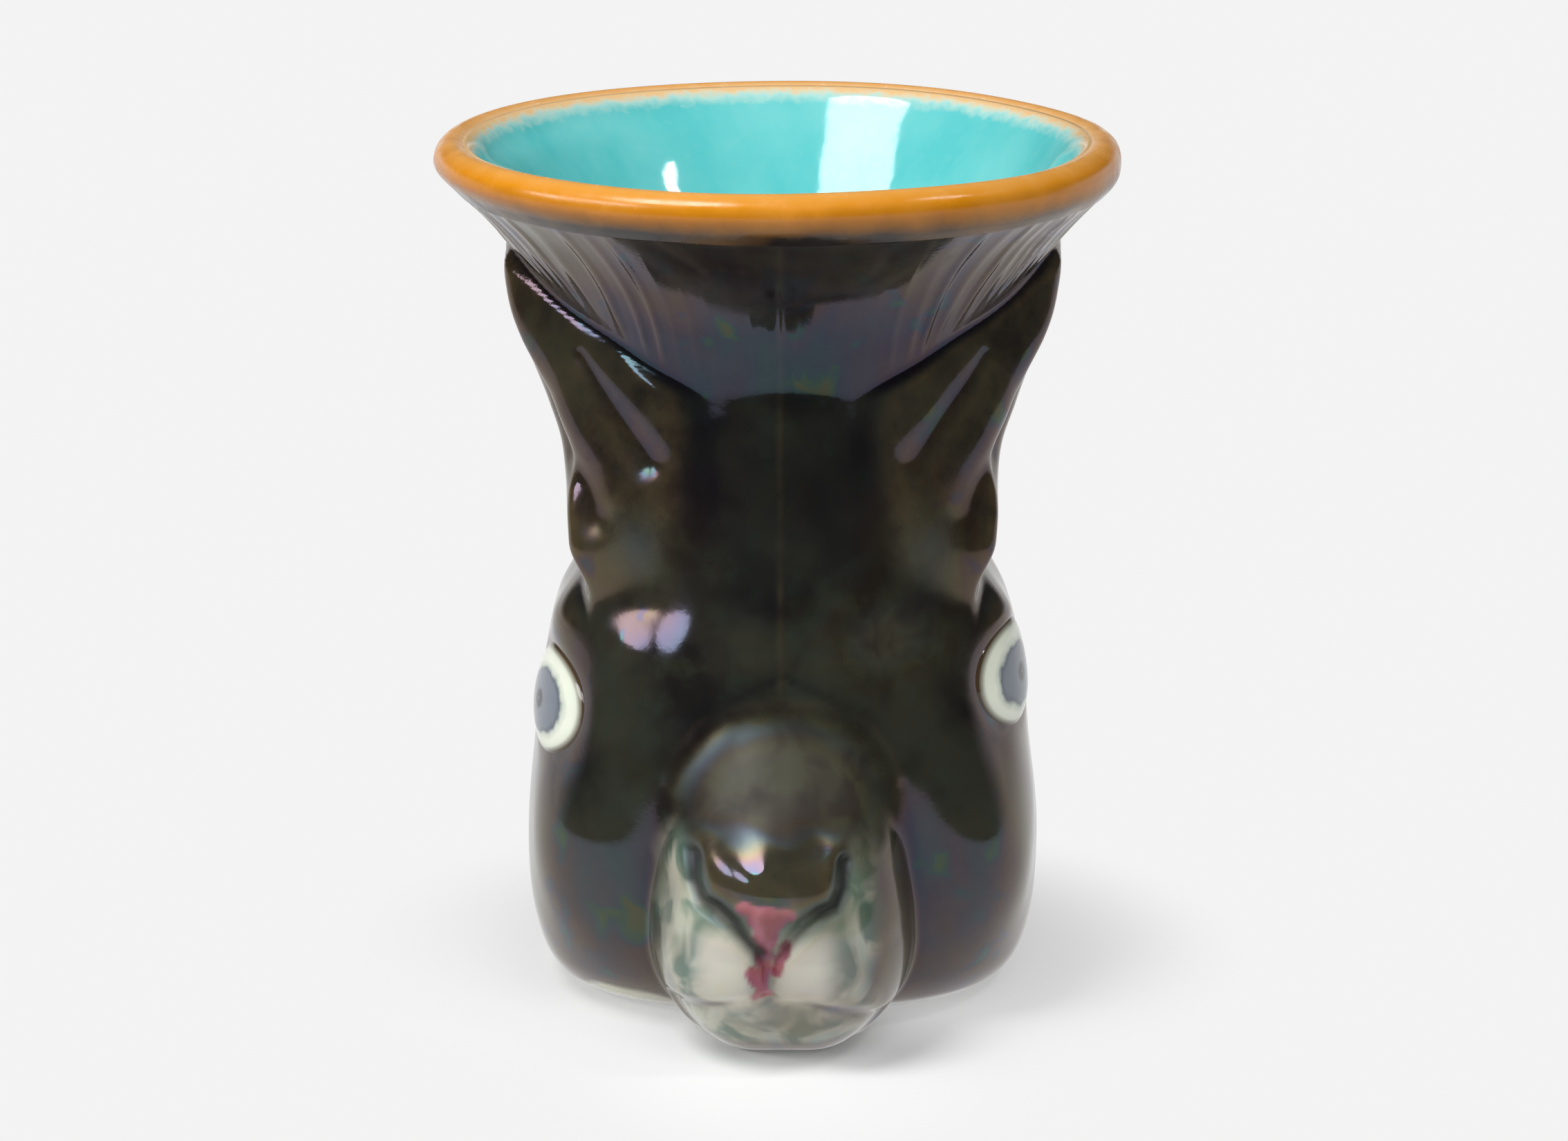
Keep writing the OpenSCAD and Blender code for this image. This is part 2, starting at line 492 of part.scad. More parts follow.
// The glaze coat of the bowl, on the same grid as the clay behind it.
module bowl_lining() {
    m = 2 * in_cols;
    function ring(i, inset) = [for (j = [0:m - 1]) let(a = 180 * j / in_cols, z = in_z(i))
        point(bowl_r(a, z) - inset, a, z + inset * (1 - i / in_rows))];
    function side(inset) = concat([[0, 0, floor_t + inset]], [for (i = [1:in_rows]) each ring(i, inset)]);
    half = 1 + in_rows * m;
    function t(i, j) = 1 + (i - 1) * m + j % m;
    faces = [for (i = [1:in_rows - 1], j = [0:m - 1], s = [0, half], f = [0, 1])
        let(w = s + t(i, j), x = s + t(i, j + 1), y = s + t(i + 1, j + 1), v = s + t(i + 1, j))
        let(out = j < in_cols ? (f == 0 ? [w, v, y] : [w, y, x]) : (f == 0 ? [w, v, x] : [v, y, x]))
        s == 0 ? out : [out[2], out[1], out[0]]];
    ends = [for (j = [0:m - 1], s = [0, half])
        s == 0 ? [0, t(1, j), t(1, j + 1)] : [half, half + t(1, j + 1), half + t(1, j)]];
    edge = [for (j = [0:m - 1], f = [0, 1]) let(y = t(in_rows, j), x = t(in_rows, j + 1))
        f == 0 ? [y, half + y, half + x] : [y, half + x, x]];
    color(turquoise_glaze)
        polyhedron(concat(side(seat_gap), side(seat_gap + lining_t)), concat(faces, ends, edge));
}

module right_shell() color(brown_glaze) half_shell();
module left_shell() mirror([1, 0, 0]) right_shell();
module right_ear() ear();
module left_ear() mirror([1, 0, 0]) ear();
module right_eye() eye(eye_z + eye_skew);
module left_eye() mirror([1, 0, 0]) eye(eye_z - eye_skew);
module right_iris() iris(eye_z + eye_skew);
module left_iris() mirror([1, 0, 0]) iris(eye_z - eye_skew);
module right_pupil() pupil(eye_z + eye_skew);
module left_pupil() mirror([1, 0, 0]) pupil(eye_z - eye_skew);
module right_pad() pad();
module left_pad() mirror([1, 0, 0]) pad();

left_shell();
right_shell();
left_ear();
right_ear();
lip();
bowl_lining();
left_eye();
right_eye();
left_iris();
right_iris();
left_pupil();
right_pupil();
nose();
left_pad();
right_pad();
chin();
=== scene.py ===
# %% [markdown]
# # A hare's-head stirrup cup
#
# A stirrup cup has no foot: it is drained in one go and put down on its mouth, or, like this
# one, on the animal's flat jaw. The real cup is earthenware, pressed in two half moulds, joined
# down the middle of the face, and brushed with coloured lead glazes that run and pool before
# they set. In this lesson the clay is one formula for the radius about the cup's axis, and the
# glazes are procedural materials that read how the clay swells and sinks under them.

# %% Load the frame
import math

import bpy
import numpy as np
from mathutils import Euler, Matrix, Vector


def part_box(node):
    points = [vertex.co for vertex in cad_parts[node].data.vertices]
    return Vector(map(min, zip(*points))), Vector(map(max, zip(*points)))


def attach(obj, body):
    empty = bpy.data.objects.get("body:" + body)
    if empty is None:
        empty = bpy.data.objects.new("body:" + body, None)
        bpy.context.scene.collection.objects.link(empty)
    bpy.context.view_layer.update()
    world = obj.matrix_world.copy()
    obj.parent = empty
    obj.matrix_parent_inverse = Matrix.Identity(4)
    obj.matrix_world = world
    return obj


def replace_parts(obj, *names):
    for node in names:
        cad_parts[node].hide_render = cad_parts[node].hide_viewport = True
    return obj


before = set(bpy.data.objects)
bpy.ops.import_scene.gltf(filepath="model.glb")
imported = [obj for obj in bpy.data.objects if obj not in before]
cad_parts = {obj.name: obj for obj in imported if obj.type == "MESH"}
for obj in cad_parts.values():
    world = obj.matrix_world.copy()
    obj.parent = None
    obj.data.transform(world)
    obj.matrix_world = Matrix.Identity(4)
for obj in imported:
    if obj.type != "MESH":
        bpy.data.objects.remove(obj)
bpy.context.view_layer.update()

# %% [markdown]
# ## Camera
#
# The cup was photographed from about 0.8 m with a long lens, looking down by about 14 degrees.
# A long lens keeps the near muzzle from growing against the far lip. The camera comes first,
# because every later piece is seen through it.

# %% Camera
IMAGE_W = 2268
FOCAL_PX = 8040.0
CAMERA_MM = (0.2, -800.0, 265.5)
CAMERA_DOWN = 0.2523  # radians below the horizon

scene = bpy.context.scene
scene.view_settings.view_transform = "Standard"
camera = bpy.data.objects.new("camera", bpy.data.cameras.new("camera"))
camera.data.sensor_width = 36.0
camera.data.lens = FOCAL_PX / IMAGE_W * camera.data.sensor_width
camera.data.clip_start = 0.05
camera.location = [v / 1000 for v in CAMERA_MM]
camera.rotation_euler = Euler((math.pi / 2 - CAMERA_DOWN, 0, 0))
scene.collection.objects.link(camera)
scene.camera = camera
print("lens, mm:", round(camera.data.lens, 1))

# %% [markdown]
# ## Curves for a potter's hand
#
# Clay has no corners, so all the forms here are made from four soft curves: an easing step, a
# bell-shaped hump, a smooth line through a few sizes, and a maximum with a fillet. Each works on
# a whole array of points at once, which keeps a dense mesh quick to build.

# %% Soft curves
def ease(low, high, x):
    """0 below low, 1 above high, and an S between."""
    t = np.clip((x - low) / (high - low), 0, 1)
    return t * t * (3 - 2 * t)


def hump(distance, width):
    """A bell: 1 at no distance, about a third at one width."""
    return np.exp(-((distance / width) ** 2))


def through(x, knots):
    """A smooth line through (x, value) knots, with each slope taken from its neighbours."""
    at, value = np.array(knots, float).T
    slope = np.gradient(value, at)
    slope[1:-1] = (value[2:] - value[:-2]) / (at[2:] - at[:-2])
    i = np.clip(np.searchsorted(at, x, side="right") - 1, 0, len(at) - 2)
    gap = at[i + 1] - at[i]
    t = np.clip((x - at[i]) / gap, 0, 1)
    return (value[i] * (2 * t**3 - 3 * t**2 + 1) + slope[i] * gap * (t**3 - 2 * t**2 + t)
            + value[i + 1] * (3 * t**2 - 2 * t**3) + slope[i + 1] * gap * (t**3 - t**2))


def filleted_max(a, b, fillet):
    """The larger of a and b, rounded where they cross."""
    h = np.clip(0.5 + 0.5 * (a - b) / fillet, 0, 1)
    return b + (a - b) * h + fillet * h * (1 - h)


def to_line(x, z, points):
    """Distance from each point to a line through points, and how far along it the nearest place is."""
    points = np.array(points, float)
    lengths = np.hypot(*np.diff(points, axis=0).T)
    best, along, done = np.full(np.shape(x), 1e9), np.zeros(np.shape(x)), 0.0
    for (ax, az), (bx, bz), length in zip(points, points[1:], lengths):
        t = np.clip(((x - ax) * (bx - ax) + (z - az) * (bz - az)) / length**2, 0, 1)
        d = np.hypot(x - ax - t * (bx - ax), z - az - t * (bz - az))
        along = np.where(d < best, (done + t * length) / lengths.sum(), along)
        best, done = np.minimum(best, d), done + length
    return best, along


print("half way up the step:", ease(0, 1, 0.5))

# %% [markdown]
# ## The thrown form: head and neck
#
# At each height the head is a rounded square, and the neck a circle, whose half sizes to the
# side, the front and the back come from a few heights. Sizes are in millimetres. The neck falls
# back from the crown, stands almost straight, and then opens like a trumpet under the lip.

# %% Head and neck
NECK_TOP = 118.95
SIDE = [(0, 32.0), (2.5, 34.8), (7, 36.6), (15, 37.7), (24, 37.8), (36, 36.8), (46, 35.6), (56, 33.4),
        (64, 29.0), (71, 27.0), (80, 26.8), (88, 27.5), (93, 29.0), (98, 31.4), (102, 34.0), (106, 37.0),
        (110, 40.3), (114, 43.6), (NECK_TOP, 48.7)]
FRONT = [(0, 28.0), (2.5, 32.6), (7, 36.8), (15, 40.2), (24, 41.8), (36, 41.7), (46, 40.4), (54, 38.8),
         (58, 37.4), (62, 35.6), (66, 34.1), (72, 32.6), (78, 31.5), (85, 30.3), (90, 29.5), (93, 29.1),
         (96, 29.3), (99, 30.0), (102, 31.2), (105, 33.0), (108, 35.3), (111, 38.2), (114, 41.7),
         (116.5, 45.0), (NECK_TOP, 48.7)]
BACK = [(0, 25.0), (2.5, 28.0), (7, 30.4), (15, 32.2), (24, 33.2), (38, 33.4), (48, 33.0), (56, 31.8),
        (64, 30.2), (72, 29.0), (80, 28.3), (88, 28.2), (94, 29.2), (99, 31.4), (104, 35.0), (110, 40.0),
        (115, 44.5), (NECK_TOP, 48.7)]
SQUARENESS = [(0, 2.5), (12, 2.7), (24, 2.75), (40, 2.55), (56, 2.45), (66, 2.5), (73, 2.4), (80, 2.2),
              (88, 2.0), (NECK_TOP, 2.0)]


def head_and_neck(angle, z):
    """Radius at an angle from the face, in radians, and a height."""
    side, power = through(z, SIDE), through(z, SQUARENESS)
    depth = np.where(np.cos(angle) > 0, through(z, FRONT), through(z, BACK))
    across, ahead = np.abs(np.sin(angle)) / side, np.abs(np.cos(angle)) / depth
    return (across**power + ahead**power) ** (-1 / power)


print("neck at its narrowest, mm across:", round(2 * float(head_and_neck(math.pi / 2, 78.0)), 1))

# %% [markdown]
# ## The muzzle
#
# The muzzle is a rounded block that stands out of the face: a flat front between two elliptical
# sides, swelling to its fullest near the whisker pads. A ray from the cup's axis leaves the block
# at a radius that has an exact answer, so the muzzle joins the head as one surface, with a tight
# fillet at its sides and a soft arch over its bridge.

# %% Muzzle
MUZZLE_MIDDLE, MUZZLE_HALF, MUZZLE_FLAT = 29.5, 19.6, 4.6
MUZZLE_Z, CHIN_DOWN, ARCH_UP = 17.0, 21.0, 36.0
SIDE_FILLET, BRIDGE_FILLET = 1.6, 4.6
CHIN_POWER, ARCH_POWER = 2.2, 2.1  # 2 rounds as an ellipse does, more is squarer
BRIDGE = [(17, 57.5), (21, 58.2), (25, 58.5), (28, 58.1), (30.5, 56.9), (33, 54.8), (37, 51.0),
          (42, 46.1), (46, 42.2), (50, 38.4), (54, 34.9)]


def rounding(share, power):
    """From 1 in the middle to 0 at the end of a rounded form."""
    return np.maximum(1 - np.clip(share, 0, 1) ** power, 1e-4) ** (1 / power)


def muzzle(angle, z):
    rise = z - MUZZLE_Z
    chin = rounding(-rise / CHIN_DOWN, CHIN_POWER)
    deep = (np.where(rise > 0, through(z, BRIDGE), BRIDGE[0][1]) - MUZZLE_MIDDLE) * chin
    arch = chin * rounding(rise / ARCH_UP, ARCH_POWER)
    flat = MUZZLE_FLAT * (0.55 + 0.45 * arch) * (1 - 0.85 * ease(19, 27, z))
    across = MUZZLE_HALF * arch - flat
    s, c = np.abs(np.sin(angle)), np.cos(angle)
    front = (MUZZLE_MIDDLE + deep) / np.maximum(c, 1e-3)
    a = (s / across) ** 2 + (c / deep) ** 2
    b = -(flat * s / across**2 + MUZZLE_MIDDLE * c / deep**2)
    root = b * b - a * ((flat / across) ** 2 + (MUZZLE_MIDDLE / deep) ** 2 - 1)
    round_side = (-b + np.sign(root) * np.sqrt(np.abs(root))) / a
    return np.where((rise < ARCH_UP) & (c > 0), np.where(front * s < flat, front, round_side), 0)


def body(angle, z):
    """Head, neck and muzzle before any fine modelling."""
    fillet = SIDE_FILLET + (BRIDGE_FILLET - SIDE_FILLET) * ease(22, 44, z)
    return filleted_max(head_and_neck(angle, z), muzzle(angle, z), fillet)


print("muzzle reach, mm:", round(float(body(0.0, MUZZLE_Z)), 1))

# %% [markdown]
# ## Ears
#
# Each ear lies back along the neck. Its front is cut in flat facets, as a modelling knife leaves
# them, with rounded edges between, a groove near the inner edge and a hollow at the root, and its
# upper edge ends at a crease on the neck. On the unrolled neck the ear is a closed outline, given as
# the reach from its middle in each direction. A facet is a plane, so its radius about the axis has
# an exact answer, and the ear shows wherever its facets lie outside the neck.

# %% Ears
EAR_MM_PER_DEGREE = 0.5
EAR_MIDDLE = (36.0, 86.0)
EAR_REACH = [(20, 17.1), (48, 30.0), (60, 40.0), (66, 40.0), (90, 30.0), (134, 30.0), (200, 30.0),
             (223, 32.0), (241, 32.0), (262, 22.0), (280, 17.5), (302, 16.0), (337, 15.2), (380, 17.1)]
EAR_CREASE = [(20, 92.8), (24, 93.1), (32, 94.2), (41, 96.1), (53, 99.7), (66, 102.2), (74, 104.2),
              (82, 106.6), (90, 109.0), (110, 113.0)]
EAR_HOLLOW = [(25, 73.0), (28, 77.5), (31.5, 81.0), (36.5, 88.0), (41.5, 93.6), (46, 100)]
EAR_SIDE = [(60, 29.0), (66, 30.6), (72, 31.3), (77, 31.6), (81.5, 32.4), (86.4, 34.5), (92, 37.2),
            (98.6, 39.6), (104, 40.7), (109, 41.2), (114, 44.0)]
# each facet: degrees round from the front, degrees up, millimetres from the origin
EAR_FACETS = [(16.0, 26.0, 66.5), (45.0, 12.5, 52.4), (33.0, 10.5, 47.0)]
EAR_FILLET, EAR_HOLLOW_W = 1.2, 2.6
EAR_GROOVE = [(30.5, 95.5), (18, 82.0)]
# from the neck to the ear's full height: mm below the crease, degrees from the front, share of the reach
EAR_TOP_EDGE, EAR_FRONT_EDGE, EAR_RIM = (-1.0, 2.6), (18, 33), (0.62, 1.12)


def facet(angle, z, turned, tilted, away):
    """Radius of a flat facet that faces turned degrees from the front and tilted degrees up."""
    lean = np.maximum(np.cos(np.abs(angle) - math.radians(turned)), 0.2)
    return (away - z * math.sin(math.radians(tilted))) / (math.cos(math.radians(tilted)) * lean)


def ear(angle, z):
    """How far the ear stands off the neck, and the share of the way from its middle to its edge."""
    degrees = np.degrees(np.abs(angle))
    arc = degrees * EAR_MM_PER_DEGREE
    dx, dz = arc - EAR_MIDDLE[0], z - EAR_MIDDLE[1]
    toward = np.degrees(np.arctan2(dz, dx))
    toward = np.where(toward < EAR_REACH[0][0], toward + 360, toward)
    share = np.hypot(dx, dz) / through(toward, EAR_REACH)
    crease = through(np.clip(degrees, EAR_CREASE[0][0], EAR_CREASE[-1][0]), EAR_CREASE)
    shelf = ease(*EAR_TOP_EDGE, crease - z) * ease(*EAR_FRONT_EDGE, degrees)
    side = through(np.clip(z, EAR_SIDE[0][0], EAR_SIDE[-1][0]), EAR_SIDE)
    out = -side / np.maximum(np.sin(np.abs(angle)), 0.3)
    for shape in EAR_FACETS:
        out = filleted_max(out, -facet(angle, z, *shape), EAR_FILLET)
    off, up = to_line(arc, z, EAR_GROOVE)
    out = -out - (0.3 + 0.5 * up) * hump(off, 1.0 + 1.2 * up)
    rise = np.maximum(out - head_and_neck(angle, z), 0)
    height = rise * shelf * (1 - ease(*EAR_RIM, share))
    off, up = to_line(arc, z, EAR_HOLLOW)
    hollow = (0.8 + 1.6 * ease(0, 0.35, up) - 2.0 * ease(0.5, 1, up)) * hump(off, EAR_HOLLOW_W)
    height = np.maximum(height - hollow * (1 - ease(0.8, 1.0, share)), 0)
    return height, np.maximum(share, 1 + (z - crease) / 18)


print("ear stands off the neck, mm:", round(float(ear(math.radians(72), 86.0)[0]), 1))

# %% [markdown]
# ## Modelling on the face
#
# The brow over each eye, the hollow in front of it, the eye socket, whisker pads, nose and chin
# are humps and dents on the clay. The nostrils, the parting of the lip and the mouth are lines
# cut with a tool. The cutter was not quite on the seam, so the nose sits a little to the left.

# %% Face
EYE_ANGLE, EYE_Z, EYE_SKEW = 63.5, 46.6, 2.0
EYE_HALF_W, EYE_HALF_H, EYE_ARC_R = 11.4, 7.4, 36.5
NOSE_X = -2.0
EYE_SOCKET, SOCKET_EDGE = 0.8, (0.6, 1.25)
# soft forms: mm proud, place and reach across, place and reach up;
# the first four are in degrees across, and the last two in mm
BROW = (1.5, 64, 14, 57, 4.5)
EYE_CORNER = (-0.4, 50, 6, 43, 7)
CHEEK = (2.4, 45, 16, 24, 13)
TEMPLE = (-0.25, 31, 9, 58, 8)
PAD = (1.2, 9.5, 6.5, 14, 5.5)
NOSE = (0.9, 0, 7.0, 28.0, 4.0)
ARCH = [(0, 50.3), (5, 49.9), (9, 48.6), (12.5, 46.2), (15, 42.8), (16.6, 39)]
ARCH_PROUD, ARCH_W = 0.1, 0.9
NOSTRIL = [(10.7, 30.6), (10.4, 27.2), (9.3, 25.0), (7.1, 24.4), (4.8, 22.8), (2.4, 19.8), (1.2, 18.4)]
NOSTRIL_DEEP, NOSTRIL_END_DEEP, NOSTRIL_W = 1.7, 1.2, 1.1
PARTING = [(0, 17.0), (0, 11.3)]
PARTING_DEEP, PARTING_W = 1.3, 1.2
MOUTH_Z, MOUTH_DROP, MOUTH_HALF = 11.3, 0.0175, 16.0
MOUTH_DEEP, MOUTH_W, CHIN_BACK = 1.0, 0.9, 2.0


def swell(across, z, proud, at, reach, up, tall):
    """A soft rise, or a dent where proud is below 0."""
    return proud * np.exp(-(((across - at) / reach) ** 2) - ((z - up) / tall) ** 2)


def eye_place(angle, z):
    """Where a point lies on its eye, in half widths and half heights from the eye's middle."""
    across = (np.degrees(np.abs(angle)) - EYE_ANGLE) * math.pi / 180 * EYE_ARC_R / EYE_HALF_W
    return across, (z - EYE_Z - EYE_SKEW * np.sign(angle)) / EYE_HALF_H


def mouth_line(x):
    return MOUTH_Z - MOUTH_DROP * np.minimum(np.abs(x - NOSE_X), MOUTH_HALF) ** 2


def on_muzzle(angle, r):
    return (np.cos(angle) > 0) * ease(36, 42, r * np.cos(angle))


def face(angle, z, r):
    """Adds the face to a radius r."""
    degrees, x = np.degrees(np.abs(angle)), r * np.sin(angle)
    for form in (BROW, EYE_CORNER, CHEEK, TEMPLE):
        r = r + swell(degrees, z, *form)
    arch = to_line(np.abs(x), z, ARCH)[0]
    r = r + ARCH_PROUD * (np.cos(angle) > 0) * hump(arch, ARCH_W)
    r = r - EYE_SOCKET * (1 - ease(*SOCKET_EDGE, np.hypot(*eye_place(angle, z))))
    front, nx = on_muzzle(angle, r), np.abs(x - NOSE_X)
    r = r + front * swell(nx, z, *PAD)
    r = r + front * swell(nx, z, *NOSE)
    under = z - mouth_line(x)
    r = r - front * CHIN_BACK * (1 - ease(-1.6, 0.3, under))
    off, along = to_line(nx, z, NOSTRIL)
    r = r - front * (NOSTRIL_DEEP + (NOSTRIL_END_DEEP - NOSTRIL_DEEP) * along) * hump(off, NOSTRIL_W)
    r = r - front * PARTING_DEEP * hump(to_line(nx, z, PARTING)[0], PARTING_W)
    return r - front * MOUTH_DEEP * hump(under, MOUTH_W) * (1 - ease(14, 17, nx))


print("eye middle, degrees and mm:", EYE_ANGLE, EYE_Z)

# %% [markdown]
# ## Strokes on the neck, the seam and the unevenness of pressed clay
#
# The mane is a fan of strokes scored up the neck, uneven in depth and spacing. The seam is a hair
# ridge left where the two halves were joined. A few slow waves, all from fixed numbers, keep the
# surface from looking machined: reflections in the glaze wander as they do on the real cup.

# %% Strokes, seam and waves
STROKE_PROUD, SEAM_PROUD, WAVE_PROUD = 0.32, 0.12, 0.22
SEAM_X, SEAM_W, WAVE_LONG = -0.3, 0.45, 21


def waves(x, y, z, size):
    """Slow unevenness between about -1 and 1, with waves about size millimetres long."""
    k = 2 * math.pi / size
    slow = (np.sin(k * (0.81 * x + 0.42 * y - 0.37 * z) + 0.6)
            + np.sin(k * (-0.35 * x + 0.64 * y + 0.71 * z) + 2.1))
    quick = (np.sin(k * 1.37 * (0.28 * x - 0.73 * y + 0.59 * z) + 4.0)
             + np.sin(k * 1.71 * (0.66 * x + 0.2 * y + 0.68 * z) + 5.2))
    return (slow + quick) / 4


def strokes(angle, z):
    """Relief of the mane's strokes: 1 on a thin ridge, a little below 0 between ridges."""
    lean = 0.2 * np.sign(angle) * (NECK_TOP - z) * ease(15, 40, np.degrees(np.abs(angle)))
    degrees = np.degrees(angle) - lean
    wander = 2.2 * np.sin(np.radians(degrees * 5.3) + 1.0) + 1.2 * np.sin(np.radians(degrees * 11.7) + z / 17)
    wave = 0.5 + 0.5 * np.sin(np.radians((degrees + wander) * 72))
    return (1.25 * wave**3 - 0.25) * (0.65 + 0.35 * np.sin(np.radians(degrees * 31) + 0.4))


def mane(angle, z):
    """How strong the strokes are: full beside the neck, faint in front, none on the ears."""
    front = 0.08 + 0.92 * ease(20, 42, np.degrees(np.abs(angle)))
    return front * ease(86, 98, z) * (1 - ease(116, 118.5, z)) * ease(1.0, 1.25, ear(angle, z)[1])


def clay(angle, z, scored=True):
    """The outside of the clay at an angle from the face and a height, with or without strokes and seam."""
    r = face(angle, z, body(angle, z)) + ear(angle, z)[0]
    if scored:
        r = r + STROKE_PROUD * strokes(angle, z) * mane(angle, z)
        r = r + SEAM_PROUD * (np.cos(angle) > 0) * hump(r * np.sin(angle) - SEAM_X, SEAM_W) * ease(48, 54, z)
    x, y = r * np.sin(angle), -r * np.cos(angle)
    return r + WAVE_PROUD * waves(x, y, z, WAVE_LONG) * ease(0, 6, z) * (1 - ease(112, NECK_TOP, z))


print("strokes at the side of the neck:", np.round(strokes(np.radians([40, 43, 46]), 105.0), 2))

# %% [markdown]
# ## From formula to mesh
#
# A mesh that is lofted from rings can be closed like a pot: a ring for each height, quads between
# neighbouring rings, and a fan at each pole. Columns stand closer together over the face than at
# the back, and rows closer over the muzzle, so that the detail goes where the eye looks.

# %% Loft
MM = 0.001


def loft(name, rings, material, poles=True):
    """A closed mesh from rings of points in millimetres.

    With poles both ends are fans; without them the last ring meets the first.
    """
    rows, columns = rings.shape[:2]
    points = rings.reshape(-1, 3)
    step = np.arange(columns)
    ahead = (step + 1) % columns
    bands = rows - 1 if poles else rows
    faces = []
    for i in range(bands):
        low, high = i * columns, (i + 1) % rows * columns
        faces.append(np.stack([low + step, low + ahead, high + ahead, high + step], 1))
    quads = np.concatenate(faces).tolist()
    if poles:
        first, last = len(points), len(points) + 1
        points = np.concatenate([points, [rings[0].mean(0), rings[-1].mean(0)]])
        top = (rows - 1) * columns
        quads += np.stack([np.full(columns, first), ahead, step], 1).tolist()
        quads += np.stack([np.full(columns, last), top + step, top + ahead], 1).tolist()
    mesh = bpy.data.meshes.new(name)
    mesh.from_pydata((points * MM).tolist(), [], quads)
    mesh.validate()
    mesh.shade_smooth()
    mesh.materials.append(material)
    piece = bpy.data.objects.new(name, mesh)
    scene.collection.objects.link(piece)
    print(name, "vertices:", len(mesh.vertices), "faces:", len(mesh.polygons))
    return piece


def paint(piece, name, values):
    """Stores one number for each point of a piece, for its glaze to read."""
    values = np.asarray(values, np.float32).ravel()
    values = np.concatenate([values, np.zeros(len(piece.data.vertices) - len(values), np.float32)])
    piece.data.attributes.new(name, "FLOAT", "POINT").data.foreach_set("value", values)


def spread(stops):
    """Numbers from stops of (start, end, step), end to end."""
    return np.concatenate([np.arange(a, b, (b - a) / round((b - a) / step)) for a, b, step in stops])


def placed(r, angle, z):
    return np.stack([r * np.sin(angle), -r * np.cos(angle), z], -1)


half_turn = spread([(0, 30, 0.46), (30, 110, 0.72), (110, 180, 1.5)])
columns = np.radians(np.concatenate([half_turn, [180], -half_turn[:0:-1]]))
row_stops = [(0, 4, 0.5), (4, 35, 0.46), (35, 76, 0.74), (76, 107, 0.6), (107, NECK_TOP, 0.74)]
rows = np.concatenate([spread(row_stops), [NECK_TOP]])
print("columns and rows of the head:", len(columns), len(rows))

# %% [markdown]
# ## One function for shader nodes
#
# Every glaze below is a small node tree. Adding a node always means the same three things: choose
# its kind, set it up, and give each input a number or a link. One function does that and hands
# back an output, ready for the next node. Colours are written as they look on screen, and turned
# to the linear light that Blender mixes.

# %% Nodes and colours
def linear(code):
    """A linear colour from an sRGB hex value."""
    parts = [int(code[i:i + 2], 16) / 255 for i in (1, 3, 5)]
    return [v / 12.92 if v <= 0.04045 else ((v + 0.055) / 1.055) ** 2.4 for v in parts] + [1.0]


def add(tree, kind, inputs=(), output=0, **settings):
    """Adds a node and returns one output.

    Settings go on the node; inputs maps a socket to a number, a colour or another output.
    """
    node = tree.nodes.new("ShaderNode" + kind)
    for key, value in settings.items():
        setattr(node, key, value)
    for key, value in dict(inputs).items():
        if isinstance(value, bpy.types.NodeSocket):
            tree.links.new(value, node.inputs[key])
        else:
            node.inputs[key].default_value = value
    return node.outputs[output] if len(node.outputs) else node


def new_material(name):
    material = bpy.data.materials.new(name)
    material.use_nodes = True
    material.node_tree.nodes.clear()
    return material, material.node_tree


def per_metre(mm):
    """Noise scale for patches about this many millimetres across."""
    return 1 / (mm * MM)


SHARE, UNDER, OVER = 0, 6, 7  # inputs of a colour mix
MIX = {"output": 2, "data_type": "RGBA"}
print("ochre in linear light:", [round(v, 3) for v in linear("#d8921e")[:3]])

# %% [markdown]
# ## Brown lead glaze
#
# The head wears a brown-black lead glaze, brushed on thickly. Where it runs off a ridge it is thin
# and the warm clay shows through as ochre; in a hollow it pools almost black. Weathering has left
# a film a few hundred nanometres thick on the surface, which tints reflections violet, with spots of
# green, in streaks that follow the brush. The muzzle is left pale, mottled with green and grey,
# with pink on the nose. Masks that belong to the shape are stored on the mesh, and the mottling
# between them is noise in real sizes.

# %% Brown lead glaze: patterns
GLAZE_IOR, LEAD_GLAZE_IOR, FILM_IOR = 1.5, 1.62, 1.53
brown_glaze, t = new_material("brown_lead_glaze_on_earthenware")
where = add(t, "TexCoord", output="Object")
masks = {name: add(t, "Attribute", output="Fac", attribute_name=name)
         for name in ("thin", "pool", "pale", "cream", "pink", "line", "foot", "matt")}
brushed = add(t, "Mapping", {"Vector": where, "Scale": (1.0, 1.0, 0.4)})
clouds = add(t, "TexNoise", {"Vector": where, "Scale": per_metre(17), "Detail": 3.0})
streaks = add(t, "TexNoise", {"Vector": brushed, "Scale": per_metre(11), "Detail": 2.0, "Distortion": 0.4})
mottle = add(t, "TexNoise", {"Vector": where, "Scale": per_metre(5), "Detail": 4.0, "Roughness": 0.6})
patches = add(t, "TexNoise", {"Vector": where, "Scale": per_metre(7), "Detail": 2.0, "Distortion": 0.6})
grain = add(t, "TexNoise", {"Vector": where, "Scale": per_metre(0.7), "Detail": 2.0})
print("patterns in", brown_glaze.name, len(t.nodes))

